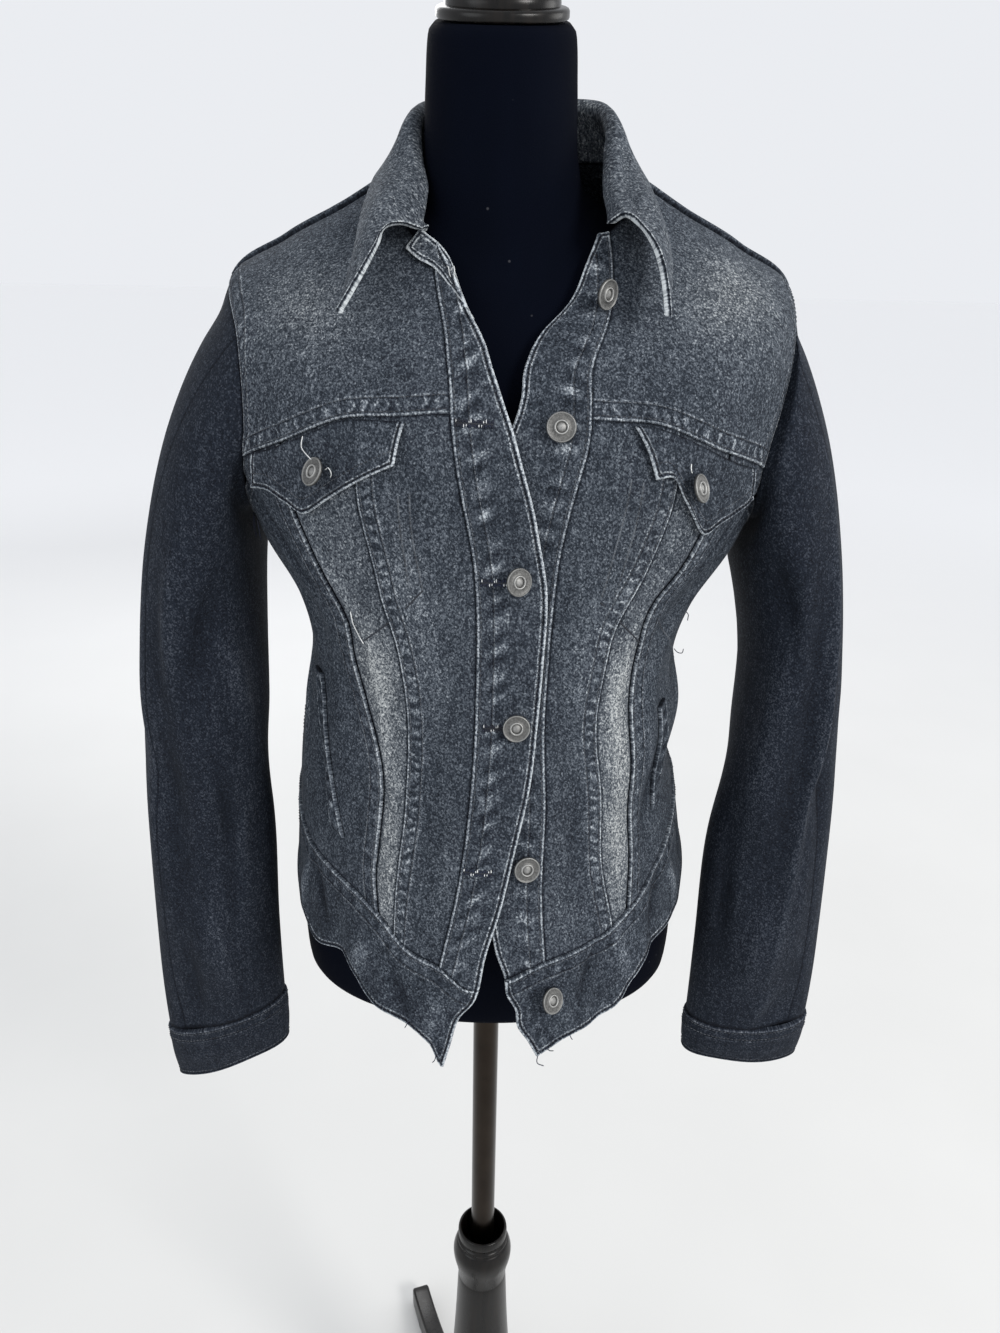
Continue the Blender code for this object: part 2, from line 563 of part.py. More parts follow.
PLACKET_SEAMS = {"r": PLACKET_SEAM_R, "l": PLACKET_SEAM_L}
INNER_SEAMS = {"r": INNER_SEAM_R, "l": INNER_SEAM_L}
OUTER_SEAMS = {"r": OUTER_SEAM_R, "l": OUTER_SEAM_L}
FRONT_EDGES = {"r": FRONT_EDGE_R, "l": FRONT_EDGE_L}


def side_sign(side):
    return -1.0 if side == "r" else 1.0


def oriented(places, side):
    """Places written for the +X side, on the side asked for."""
    return places if side == "l" else [(-turn, level) for turn, level in places]


def settle(start, follow):
    """The level at which a line meets another, by repeated steps."""
    level = start
    for _ in range(20):
        level = follow(level)
    return level


def seam_line(seam, start_level, end_level, rows):
    return [(seam_at(seam, level), level) for level in shares(rows, start_level, end_level)]


def front_seam(seam):
    """A front seam from the yoke seam down to the waistband's seam."""
    start = settle(seam[0].level, lambda level: yoke_level(seam_at(seam, level)))
    end = settle(10.0, lambda level: waist_level(seam_at(seam, level)))
    return seam_line(seam, start, end, ARMHOLE_ROWS + SIDE_ROWS)


def yoke_seam(start_turn, end_turn, columns):
    return [(turn, yoke_level(turn)) for turn in shares(columns, start_turn, end_turn)]


def waist_seam(start_turn, end_turn, columns):
    return [(turn, waist_level(turn)) for turn in shares(columns, start_turn, end_turn)]


def side_seam():
    """The side seam on the +X side, from the underarm to the waistband."""
    levels = shares(SIDE_ROWS, UNDERARM_LEVEL, waist_level(SIDE_TURN))
    return [(SIDE_TURN, level) for level in levels]


def front_side_line(side):
    """The armhole below the front yoke, then the side seam."""
    stops = ARMHOLE_FRONT[side]
    armhole = [line_through(stops, share) for share in shares(ARMHOLE_ROWS, YOKE_FRONT_SHARE, 1.0)]
    return oriented(armhole + side_seam()[1:], side)


def back_side_line():
    """The armhole below the back yoke, then the side seam, on the +X side."""
    armhole = [line_through(ARMHOLE_BACK, share)
               for share in shares(BACK_ARMHOLE_ROWS, YOKE_BACK_SHARE, 1.0)]
    return armhole + side_seam()[1:]


def make_front_panels(side):
    seams = [front_seam(PLACKET_SEAMS[side]), front_seam(INNER_SEAMS[side]),
             front_seam(OUTER_SEAMS[side]), front_side_line(side)]
    panels = (("front_centre", CENTRE_COLUMNS), ("front_wedge", WEDGE_COLUMNS), ("front_side", SIDE_COLUMNS))
    for (name, columns), near, far in zip(panels, seams, seams[1:]):
        top = yoke_seam(near[0][0], far[0][0], columns)
        bottom = waist_seam(near[-1][0], far[-1][0], columns)
        torso_piece(f"{name}_{side}", coons(near, far, top, bottom))


def make_front_yoke(side):
    placket_seam = PLACKET_SEAMS[side]
    corner = front_seam(placket_seam)[0]
    start = placket_seam[0].level
    near = seam_line(placket_seam, start, corner[1], YOKE_ROWS)
    far = oriented([line_through(ARMHOLE_FRONT[side], share)
                    for share in shares(YOKE_ROWS, 0.0, YOKE_FRONT_SHARE)], side)
    shoulder_turn = side_sign(side) * SIDE_TURN
    neck = [(turn, start * (1.0 - step / NECK_COLUMNS) ** 2)
            for step, turn in enumerate(shares(NECK_COLUMNS, near[0][0], shoulder_turn))]
    shoulder = [(shoulder_turn, level) for level in shares(SHOULDER_COLUMNS, 0.0, SHOULDER_TIP_LEVEL)]
    stops = [corner[0], front_seam(INNER_SEAMS[side])[0][0], front_seam(OUTER_SEAMS[side])[0][0], far[-1][0]]
    bottom = [corner]
    for first, last, columns in zip(stops, stops[1:], (CENTRE_COLUMNS, WEDGE_COLUMNS, SIDE_COLUMNS)):
        bottom += yoke_seam(first, last, columns)[1:]
    torso_piece(f"front_yoke_{side}", coons(near, far, neck + shoulder[1:], bottom))


def placket_levels(side):
    """Levels down a placket seam, on the same rows that its neighbours have."""
    seam = front_seam(PLACKET_SEAMS[side])
    above = shares(YOKE_ROWS, PLACKET_SEAMS[side][0].level, seam[0][1])
    return above + [level for _turn, level in seam[1:]]


def straight(start, end, steps):
    return [(start[0] + (end[0] - start[0]) * share, start[1] + (end[1] - start[1]) * share)
            for share in shares(steps)]


def make_placket(side, lift):
    levels = placket_levels(side)
    edge = FRONT_EDGES[side]
    near = [(seam_at(PLACKET_SEAMS[side], level), level) for level in levels]
    end = settle(10.0, lambda level: waist_level(seam_at(edge, level)))
    far = []
    for level in levels:
        share = (level - levels[0]) / (levels[-1] - levels[0])
        edge_level = edge[0].level + share * (end - edge[0].level)
        far.append((seam_at(edge, edge_level), edge_level))
    top = straight(near[0], far[0], PLACKET_COLUMNS)
    bottom = waist_seam(near[-1][0], far[-1][0], PLACKET_COLUMNS)
    torso_piece(f"placket_{side}", coons(near, far, top, bottom), lift, FOLDED_DENIM)


def upper_placket_lift(_row, column):
    """The buttoned front lies on top: it rises from its seam to its free edge."""
    return 0.0006 + 0.0026 * column


def under_placket_lift(_row, column):
    """The other front lies beneath and falls from its seam to its free edge."""
    return -0.0002 - 0.0018 * column


def make_back_panels():
    """Two side panels and the centre panel under the back yoke."""
    side_line = back_side_line()
    rows = len(side_line) - 1
    seam = seam_line(BACK_SEAM, BACK_YOKE_LEVEL, waist_level(1.0), rows)
    for side in ("r", "l"):
        near, far = oriented(side_line, side), oriented(seam, side)
        top = straight(near[0], far[0], BACK_SIDE_COLUMNS)
        bottom = waist_seam(near[-1][0], far[-1][0], BACK_SIDE_COLUMNS)
        torso_piece(f"back_side_{side}", coons(near, far, top, bottom))
    other = [(2.0 - turn, level) for turn, level in seam]
    top = straight(seam[0], other[0], BACK_COLUMNS)
    bottom = waist_seam(seam[-1][0], other[-1][0], BACK_COLUMNS)
    torso_piece("back_centre", coons(seam, other, top, bottom))


def make_back_yoke():
    """One piece from shoulder seam to shoulder seam round the back of the neck."""
    shoulder = [(SIDE_TURN, level) for level in shares(SHOULDER_COLUMNS, 0.0, SHOULDER_TIP_LEVEL)]
    armhole = [line_through(ARMHOLE_BACK, share)
               for share in shares(BACK_YOKE_ROWS, 0.0, YOKE_BACK_SHARE)]
    left = shoulder + armhole[1:]
    right = [(2.0 - turn, level) for turn, level in left]
    seam_top = (seam_at(BACK_SEAM, BACK_YOKE_LEVEL), BACK_YOKE_LEVEL)
    side = straight(left[-1], seam_top, BACK_SIDE_COLUMNS)
    middle = straight(seam_top, (2.0 - seam_top[0], BACK_YOKE_LEVEL), BACK_COLUMNS)
    bottom = side + middle[1:] + [(2.0 - turn, level) for turn, level in reversed(side)][1:]
    top = [(turn, 0.0) for turn in shares(len(bottom) - 1, SIDE_TURN, 2.0 - SIDE_TURN)]
    torso_piece("back_yoke", coons(left, right, top, bottom))


def band_lift(_row, _column):
    return 0.0012


def make_band_piece(name, turns, near, far):
    """A waistband piece under the panels whose lower corners are at the given turns."""
    top = [(turn, waist_level(turn)) for turn in turns]
    bottom = [(turn, hem_level(turn)) for turn in shares(len(turns) - 1, near[-1][0], far[-1][0])]
    torso_piece(name, coons(near, far, top, bottom), band_lift, BAND_DENIM)


def make_waistband():
    """Three pieces round the hem, joined at the side seams."""
    for side in ("r", "l"):
        edge = FRONT_EDGES[side]
        start = settle(10.0, lambda level: waist_level(seam_at(edge, level)))
        near = seam_line(edge, start, hem_level(edge[-1].turn), BAND_ROWS)
        side_turn = side_sign(side) * SIDE_TURN
        far = straight((side_turn, waist_level(side_turn)), (side_turn, hem_level(side_turn)), BAND_ROWS)
        stops = [near[0][0]] + [front_seam(seams[side])[-1][0]
                                for seams in (PLACKET_SEAMS, INNER_SEAMS, OUTER_SEAMS)] + [side_turn]
        turns = [stops[0]]
        columns = (PLACKET_COLUMNS, CENTRE_COLUMNS, WEDGE_COLUMNS, SIDE_COLUMNS)
        for first, last, count in zip(stops, stops[1:], columns):
            turns += shares(count, first, last)[1:]
        make_band_piece(f"waistband_front_{side}", turns, near, far)
    seam_turn = seam_at(BACK_SEAM, waist_level(1.0))
    turns = shares(BACK_SIDE_COLUMNS, SIDE_TURN, seam_turn)
    turns += shares(BACK_COLUMNS, seam_turn, 2.0 - seam_turn)[1:]
    turns += shares(BACK_SIDE_COLUMNS, 2.0 - seam_turn, 2.0 - SIDE_TURN)[1:]
    near = straight((SIDE_TURN, waist_level(SIDE_TURN)), (SIDE_TURN, hem_level(SIDE_TURN)), BAND_ROWS)
    far = [(2.0 - turn, level) for turn, level in near]
    make_band_piece("waistband_back", turns, near, far)


FLAP_ROWS = 3


def make_flap(side):
    """A pointed pocket flap lying on the chest under the yoke seam."""
    cuts = FLAPS[side]
    grid = []
    for share in shares(FLAP_ROWS):
        grid.append([(cut.top_turn + (cut.low_turn - cut.top_turn) * share,
                      cut.top_level + (cut.low_level - cut.top_level) * share) for cut in cuts])

    def lift(row, _column):
        return FLAP_LIFT + 0.0012 * row

    torso_piece(f"pocket_flap_{side}", grid, lift, FOLDED_DENIM)


WELT_ROWS = 7


def make_welt(side):
    """The narrow welt of a hand pocket, stitched on the side panel."""
    start, end = WELTS[side]
    grid = []
    for share in shares(WELT_ROWS):
        turn = start.turn + (end.turn - start.turn) * share
        level = start.level + (end.level - start.level) * share
        grid.append([(turn - WELT_TURN, level), (turn + WELT_TURN, level)])
    torso_piece(f"pocket_welt_{side}", grid, lambda _row, _column: 0.0017, WELT_DENIM)


# ---------------------------------------------------------------- collar


def neck_outward(turn):
    """Level direction away from the neck at a turn."""
    reach = 0.01
    along = bare_torso(turn + reach, 0.0) - bare_torso(turn - reach, 0.0)
    return Vector((along.y, -along.x, 0.0)).normalized()


COLLAR_SEAM_RISE = 0.0010
STAND_STEPS = 3
FALL_STEPS = 4


def collar_section(cut):
    """Points on the collar's outer face, from the neckline up inside, over the fold, down to its edge."""
    turn, fold_x, fold_y, fold_z, edge_x, edge_y, edge_z, bow, sway, roll, drop = cut
    out, up = neck_outward(turn), Vector((0.0, 0.0, 1.0))
    ahead = (Vector((0.0, -1.0, 0.0)) + out * out.y).normalized()
    seam = bare_torso(turn, 0.0) + up * COLLAR_SEAM_RISE - out * FOLDED_DENIM * 0.7
    fold, edge = Vector((fold_x, fold_y, fold_z)), Vector((edge_x, edge_y, edge_z))
    stand_top = fold - out * roll - up * drop
    fall_top = fold + out * roll - up * drop
    swing = (out * 0.6 + up * 0.8) * bow + ahead * sway
    points = [seam.lerp(stand_top, share) for share in shares(STAND_STEPS)]
    points.append(fold)
    for share in shares(FALL_STEPS):
        points.append(fall_top.lerp(edge, share) + swing * math.sin(math.pi * share))
    return points


def collar_stations(side):
    """Sections of one half, from the front end to the centre back."""
    table = [(index, *cut) for index, cut in enumerate(COLLAR[side])]
    last = len(table) - 1
    return [collar_section(smooth_row(table, last * share)) for share in shares(COLLAR_STEPS)]


def make_collar():
    """One folded wall from front end to front end round the back of the neck."""
    outer = collar_stations("r") + collar_stations("l")[-2::-1]
    normals = sheet_normals(outer)
    inner = [[point - normal * FOLDED_DENIM for point, normal in zip(line, normal_line)]
             for line, normal_line in zip(outer, normals)]
    return make_wall("collar", outer, inner, DENIM_BODY)


def sheet_normals(grid, closed=False):
    """Normals of a grid of points; closed joins the last column to the first."""
    rows, columns = len(grid), len(grid[0])
    normals = []
    for row in range(rows):
        line = []
        for column in range(columns):
            up, down = grid[max(row - 1, 0)][column], grid[min(row + 1, rows - 1)][column]
            if closed:
                before, after = grid[row][(column - 1) % columns], grid[row][(column + 1) % columns]
            else:
                before, after = grid[row][max(column - 1, 0)], grid[row][min(column + 1, columns - 1)]
            line.append((after - before).cross(down - up).normalized())
        normals.append(line)
    return normals


# ---------------------------------------------------------------- sleeves

FRONT_ARM_COLUMNS = YOKE_ROWS + ARMHOLE_ROWS
BACK_ARM_COLUMNS = BACK_YOKE_ROWS + BACK_ARMHOLE_ROWS
SLEEVE_SEAM_FRONT = 3      # columns from the outside to the sleeve's two seams
SLEEVE_SEAM_BACK = 5
SLEEVE_HEAD = 4.0          # rows over which the sleeve takes the armhole's shape


def armhole_places(side):
    """Armhole border points, from the shoulder tip down the front and up the back."""
    stops = ARMHOLE_FRONT[side]
    front = [line_through(stops, share) for share in shares(YOKE_ROWS, 0.0, YOKE_FRONT_SHARE)]
    front += [line_through(stops, share) for share in shares(ARMHOLE_ROWS, YOKE_FRONT_SHARE, 1.0)][1:]
    back = [line_through(ARMHOLE_BACK, share)
            for share in shares(BACK_YOKE_ROWS, 0.0, YOKE_BACK_SHARE)]
    back += [line_through(ARMHOLE_BACK, share)
             for share in shares(BACK_ARMHOLE_ROWS, YOKE_BACK_SHARE, 1.0)][1:]
    return oriented(front + back[-2:0:-1], side)


def tube_angles():
    """Angle about the sleeve for each armhole point: 0 outside, pi at the underarm."""
    angles = [math.pi * step / FRONT_ARM_COLUMNS for step in range(FRONT_ARM_COLUMNS + 1)]
    angles += [math.pi + math.pi * step / BACK_ARM_COLUMNS for step in range(1, BACK_ARM_COLUMNS)]
    return angles


def tube_point(row, angle, side):
    """A point of a sleeve ring; angles run from the outside to the front."""
    outer_x, outer_z, inner_x, inner_z, forward, half_depth = row
    centre = Vector(((outer_x + inner_x) / 2.0, -forward, (outer_z + inner_z) / 2.0))
    reach = Vector(((outer_x - inner_x) / 2.0, 0.0, (outer_z - inner_z) / 2.0))
    cosine, sine = math.cos(angle), math.sin(angle)
    point = centre + reach * cosine + Vector((0.0, -half_depth * sine, 0.0))
    return Vector((side_sign(side) * point.x, point.y, point.z))


def tube_row(table, place, lift=(0.0, 0.0)):
    """A ring between the table's rows, its outer and inner ends raised by lift."""
    row = smooth_row([(index, *row) for index, row in enumerate(table)], place)
    row[1] += lift[0]
    row[3] += lift[1]
    return row


def sleeve_fold_height(angle, row):
    total = 0.0
    for fold in SLEEVE_FOLDS:
        away = angle - fold.angle - fold.slant * (row - fold.row)
        away = (away + math.pi) % (2.0 * math.pi) - math.pi
        across, along = away / fold.across, (row - fold.row) / fold.along
        total += fold.height * math.exp(-across * across - along * along)
    return total


def outward_normals(grid, side):
    """Normals of a sleeve's or cuff's grid, away from the arm."""
    normals = sheet_normals(grid, closed=True)
    sign = side_sign(side)
    return [[normal * sign for normal in line] for line in normals]


def armhole_edge(side):
    """Points just inside the armhole, and the torso's normals there."""
    places = armhole_places(side)
    edge = [torso(turn, level) for turn, level in places]
    normals = [torso_normal(turn, level) for turn, level in places]
    centre = sum(edge, Vector()) / len(edge)
    for index, normal in enumerate(normals):
        inward = centre - edge[index]
        inward = (inward - normal * inward.dot(normal)).normalized()
        edge[index] = edge[index] + inward * SEAM_GAP
    return edge, normals


def sleeve_grids(side):
    """Outer and inner points of a whole sleeve: rows down the arm, columns round it."""
    angles = tube_angles()
    edge, body_normals = armhole_edge(side)
    under = [((1.0 - math.cos(angle)) / 2.0) ** 1.5 for angle in angles]
    start = [point + normal * UNDERARM_REACH * share
             for point, normal, share in zip(edge, body_normals, under)]
    last = len(SLEEVE) - 1
    lift = CUFF_LIFT[side]
    first = [tube_point(tube_row(SLEEVE, 0.0), angle, side) for angle in angles]
    places = [last * step / (SLEEVE_ROWS - 1) for step in range(SLEEVE_ROWS)]
    outer = []
    for place in places:
        share = (place / last) ** 3
        row = tube_row(SLEEVE, place, (lift[0] * share, lift[1] * share))
        away = (place - SLEEVE_LEAN_ROW) / SLEEVE_LEAN_ROWS
        row[2] += SLEEVE_LEAN[side] * math.exp(-away * away)
        line = [tube_point(row, angle, side) for angle in angles]
        near = max(0.0, 1.0 - place / SLEEVE_HEAD) ** 2
        for column, point in enumerate(line):
            offset = start[column] - first[column]
            line[column] = point + Vector((offset.x * 0.7, offset.y * 0.55, offset.z * 0.2)) * near
        outer.append(line)
    turned_out = [point.lerp(after, 0.3 * (1.0 - share)) + normal * UNDERARM_REACH * share
                  for point, after, normal, share in zip(edge, outer[0], body_normals, under)]
    outer = [edge, turned_out] + outer
    places = [0.0, 0.0] + places
    normals = outward_normals(outer, side)
    normals[0] = [on_body.lerp(on_sleeve, share).normalized()
                  for on_body, on_sleeve, share in zip(body_normals, normals[0], under)]
    inner = []
    for index, place in enumerate(places):
        for column, angle in enumerate(angles):
            outer[index][column] = (outer[index][column]
                                    + normals[index][column] * sleeve_fold_height(angle, place))
        inner.append([point - normal * DENIM for point, normal in zip(outer[index], normals[index])])
    return outer, inner


def make_sleeve(side):
    """The outer and the inner piece of a two-piece sleeve."""
    outer, inner = sleeve_grids(side)
    count = len(outer[0])
    front, back = SLEEVE_SEAM_FRONT, count - SLEEVE_SEAM_BACK
    pieces = (("sleeve_outer", list(range(back, count)) + list(range(front + 1))),
              ("sleeve_inner", list(range(front, back + 1))))
    for name, columns in pieces:
        skins = [[[line[column].copy() for column in columns] for line in grid] for grid in (outer, inner)]
        moves = draw_in(skins[0], SEAM_GAP / 2.0, (False, True, True, True))
        for skin in skins:
            for line, move_line in zip(skin, moves):
                for column, move in enumerate(move_line):
                    line[column] += move
        make_wall(f"{name}_{side}", skins[0], skins[1], DENIM_SLEEVE)


CUFF_ROWS = 3


def cuff_ring(side, place):
    outer_lift, inner_lift = CUFF_LIFT[side]
    shorter = CUFF_SHORTENING[side] * place / (len(CUFF) - 1)
    row = tube_row(CUFF, place, (outer_lift + shorter, inner_lift + shorter))
    return [tube_point(row, angle, side) for angle in tube_angles()]


def make_cuff(side):
    """A closed band that continues the sleeve below the cuff seam."""
    outer = [cuff_ring(side, (len(CUFF) - 1) * share) for share in shares(CUFF_ROWS)]
    normals = outward_normals(outer, side)
    inner = [[point - normal * BAND_DENIM for point, normal in zip(line, normal_line)]
             for line, normal_line in zip(outer, normals)]
    drop = Vector((0.0, 0.0, -SEAM_GAP))
    outer[0] = [point + drop for point in outer[0]]
    inner[0] = [point + drop for point in inner[0]]
    make_wall(f"cuff_{side}", outer, inner, DENIM_SLEEVE, closed=True)


# ---------------------------------------------------------------- turned pieces


def turned(name, profile, sides, material):
    """A solid of revolution from a profile of (radius, height) that runs from its top to its foot."""
    mesh = bpy.data.meshes.new(name)
    edges = [(index, index + 1) for index in range(len(profile) - 1)]
    mesh.from_pydata([(radius, 0.0, height) for radius, height in profile], edges, [])
    item = new_object(name, mesh, material)
    screw = item.modifiers.new("turn", "SCREW")
    screw.axis = "Z"
    screw.steps = sides
    screw.render_steps = sides
    screw.use_merge_vertices = True
    screw.merge_threshold = 0.00001
    screw.use_smooth_shade = True
    return item


TURNED_SIDES = 24

BUTTON_RIM_FOOT = 0.0018   # the rim's underside above the button's foot
BUTTON_PROFILE = [
    (0.0, 0.0042), (0.0028, 0.0040), (0.0042, 0.0033), (0.0070, 0.0036), (BUTTON_RADIUS, 0.0028),
    (BUTTON_RADIUS, BUTTON_RIM_FOOT), (0.0040, 0.0013), (0.0040, 0.0000), (0.0, 0.0),
]
BUTTON_SIDES = 14
CUFF_BUTTON_COLUMN = 5     # columns behind the outside of the cuff
CUFF_BUTTON_LIFT = 0.0012


def leaned(normal, aside, nod):
    """A direction turned aside about the vertical and then nodded upwards, in degrees."""
    level_axis = Vector((0.0, 0.0, 1.0)).cross(normal).normalized()
    nodded = Matrix.Rotation(-math.radians(nod), 3, level_axis) @ normal
    return Matrix.Rotation(math.radians(aside), 3, "Z") @ nodded


def rim_rise(normal, facing):
    """How far a leaning button stands off, so that its rim stays clear of the cloth."""
    lean = normal.angle(facing)
    return max(0.0, BUTTON_RADIUS * math.sin(lean) - BUTTON_RIM_FOOT * math.cos(lean))


def make_button(name, point, normal, facing):
    """A shank button on the cloth at a point, with the cloth's normal and the way it faces."""
    item = turned(name, BUTTON_PROFILE, BUTTON_SIDES, BUTTON_METAL)
    item.rotation_mode = "QUATERNION"
    item.rotation_quaternion = Vector((0.0, 0.0, 1.0)).rotation_difference(facing)
    item.location = point + normal * (SEAM_GAP + rim_rise(normal, facing))
    return place_on_axis(item)


def make_buttons():
    for spot in BUTTONS:
        normal = torso_normal(spot.turn, spot.level)
        point = torso(spot.turn, spot.level) + normal * spot.lift
        make_button(spot.name, point, normal, leaned(normal, spot.aside, spot.nod))
    for side in ("r", "l"):
        ring = cuff_ring(side, 1.0)
        spot = len(ring) - CUFF_BUTTON_COLUMN
        beside = ring[spot + 1] - ring[spot - 1]
        normal = Vector((beside.y, -beside.x, 0.0)).normalized()
        if normal.y < 0.0:
            normal = -normal
        make_button(f"cuff_button_{side}", ring[spot] + normal * CUFF_BUTTON_LIFT, normal, normal)


# ---------------------------------------------------------------- form and stand


def make_form():
    """The limbless form: a smooth closed solid from hip to neck."""
    sides, rows = 28, 30
    top = FORM[-1].level
    work = bmesh.new()
    loops = []
    for step in range(rows + 1):
        level = top * step / rows
        loops.append([work.verts.new(ring_point(FORM, 2.0 * side / sides, level)) for side in range(sides)])
    for below, above in zip(loops, loops[1:]):
        for side in range(sides):
            after = (side + 1) % sides
            work.faces.new((below[side], below[after], above[after], above[side]))
    work.faces.new(loops[0])
    work.faces.new(loops[-1])
    bmesh.ops.recalc_face_normals(work, faces=work.faces)
    mesh = bpy.data.meshes.new("form_body")
    work.to_mesh(mesh)
    work.free()
    mesh.shade_smooth()
    mesh.set_sharp_from_angle(angle=math.radians(45.0))
    return place_on_axis(new_object("form_body", mesh, VELVET))


def make_neck_cap():
    """A lacquered disc with a smaller step, lying on the slanted top of the neck."""
    profile = [(0.0, 0.0135), (0.0290, 0.0135), (0.0325, 0.0118), (0.0335, 0.0095), (0.0335, 0.0065),
               (0.0370, 0.0060), (0.0385, 0.0050), (0.0385, 0.0008), (0.0375, 0.0), (0.0, 0.0)]
    item = turned("neck_cap", profile, 28, LACQUER)
    front, back = ring_point(FORM, 0.0, FORM[-1].level), ring_point(FORM, 1.0, FORM[-1].level)
    slope = math.atan2(back.z - front.z, back.y - front.y)
    normal = Vector((0.0, -math.sin(slope), math.cos(slope)))
    item.rotation_euler = (slope, 0.0, 0.0)
    item.location = (front + back) / 2.0 + normal * SEAM_GAP
    return place_on_axis(item)


def make_pole():
    top = FORM_FOOT_Z - SEAM_GAP
    profile = [(0.0, top), (POLE_RADIUS, top), (POLE_RADIUS, POLE_FOOT_Z), (0.0, POLE_FOOT_Z)]
    return place_on_axis(turned("pole", profile, TURNED_SIDES, POLE_METAL))


def make_flange():
    """The socket plate under the form that the pole turns in."""
    inner = POLE_RADIUS + SEAM_GAP
    top = FORM_FOOT_Z - SEAM_GAP
    profile = [(inner, top), (0.0340, top), (0.0340, top - 0.0040), (0.0180, top - 0.0060),
               (0.0160, top - 0.0220), (inner, top - 0.0220), (inner, top)]
    return place_on_axis(turned("pole_flange", profile, TURNED_SIDES, POLE_METAL))


STEM_TURNING = [
    (0.0215, STEM_TOP_Z), (0.0232, 0.4765), (0.0236, 0.4700), (0.0226, 0.4665), (0.0244, 0.4640),
    (0.0240, 0.4610), (0.0256, 0.4585), (0.0280, 0.4500), (0.0276, 0.4400), (0.0250, 0.4280),
    (0.0232, 0.4150), (0.0238, 0.4060), (0.0262, 0.3500), (0.0300, 0.2900), (0.0345, 0.2450),
    (0.0350, 0.2200), (0.0300, 0.1920), (0.0235, 0.1760), (0.0250, 0.1680), (0.0300, 0.1640),
    (LEG_ROOT_RADIUS, 0.0700), (0.0240, 0.0600), (0.0120, STEM_FOOT_Z), (0.0, STEM_FOOT_Z),
]


def make_stem():
    """The turned wooden stem, bored for the pole and recessed round it."""
    hollow = [(0.0, BORE_FLOOR_Z), (BORE_RADIUS, BORE_FLOOR_Z), (BORE_RADIUS, RECESS_FLOOR_Z),
              (RECESS_RADIUS, RECESS_FLOOR_Z), (RECESS_RADIUS, STEM_TOP_Z - 0.0010)]
    return place_on_axis(turned("stem", hollow + STEM_TURNING, TURNED_SIDES, LACQUER))


def leg_outline():
    """Side view of a leg as (reach, height): a swept bar with a flat foot and a squared end."""
    root = LEG_ROOT_RADIUS + SEAM_GAP
    upper = []
    for share in shares(8):
        reach = root + (LEG_REACH - 0.004 - root) * share
        upper.append((reach, 0.030 + 0.112 * (1.0 - share) ** 1.7))
    foot = [(LEG_REACH, 0.027), (LEG_REACH, 0.0), (LEG_REACH - 0.040, 0.0)]
    lower = []
    for share in shares(7, 0.14, 1.0):
        reach = LEG_REACH - 0.040 - (LEG_REACH - 0.040 - root) * (share - 0.14) / 0.86
        lower.append((reach, 0.098 * share ** 1.7))
    return upper + foot + lower[1:]


def make_leg(number, angle):
    curve = bpy.data.curves.new(f"leg_{number}_outline", "CURVE")
    curve.dimensions = "2D"
    curve.fill_mode = "BOTH"
    curve.extrude = LEG_THICKNESS / 2.0
    outline = leg_outline()
    spline = curve.splines.new("POLY")
    spline.points.add(len(outline) - 1)
    for point, (reach, height) in zip(spline.points, outline):
        point.co = (reach, height, 0.0, 1.0)
    spline.use_cyclic_u = True
    item = bpy.data.objects.new(f"leg_{number}", curve)
    curve.materials.append(LACQUER)
    PARTS.objects.link(item)
    upright = Matrix.Rotation(math.radians(90.0), 4, "X")
    item.matrix_world = (Matrix.Translation((0.0, AXIS_Y, 0.0))
                         @ Matrix.Rotation(math.radians(angle), 4, "Z") @ upright)
    return item


# ---------------------------------------------------------------- assembly


def make_jacket():
    for side, lift in (("r", upper_placket_lift), ("l", under_placket_lift)):
        make_front_yoke(side)
        make_front_panels(side)
        make_placket(side, lift)
        make_flap(side)
        make_welt(side)
        make_sleeve(side)
        make_cuff(side)
    make_back_yoke()
    make_back_panels()
    make_waistband()
    make_collar()
    make_buttons()


def make_stand():
    make_form()
    make_neck_cap()
    make_flange()
    make_pole()
    make_stem()
    for number, angle in enumerate(LEG_ANGLES, start=1):
        make_leg(number, angle)


make_jacket()
make_stand()
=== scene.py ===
"""Looks of a washed black denim jacket on its dress form: cloth, sewing, buttons, velvet and stand.

Each cloth piece is a thin closed shell on the surface of its solid. A place on the torso is
(turn, level): turn is the share of half a turn from the centre front, positive to the wearer's left,
and level runs from the neckline (0) to the hem (11). Metres, +Z up, the jacket faces -Y.
_r is the wearer's right and _l the wearer's left.
"""

import math
from collections import namedtuple

import bmesh
import bpy
import numpy as np
from mathutils import Matrix, Vector


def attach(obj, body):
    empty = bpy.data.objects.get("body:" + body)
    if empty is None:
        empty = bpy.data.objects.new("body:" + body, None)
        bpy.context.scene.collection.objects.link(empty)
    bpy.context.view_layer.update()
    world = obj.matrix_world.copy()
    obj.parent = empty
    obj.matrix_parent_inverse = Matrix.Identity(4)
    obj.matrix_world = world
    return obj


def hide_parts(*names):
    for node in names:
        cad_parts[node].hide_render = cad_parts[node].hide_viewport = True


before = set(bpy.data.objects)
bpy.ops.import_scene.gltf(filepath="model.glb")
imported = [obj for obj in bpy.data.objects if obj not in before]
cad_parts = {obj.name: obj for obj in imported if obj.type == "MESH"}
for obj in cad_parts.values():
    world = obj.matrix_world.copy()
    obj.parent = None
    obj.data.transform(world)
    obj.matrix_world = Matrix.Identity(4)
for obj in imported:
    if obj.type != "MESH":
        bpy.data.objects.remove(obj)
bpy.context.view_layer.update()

# ---------------------------------------------------------------- sizes (metres)

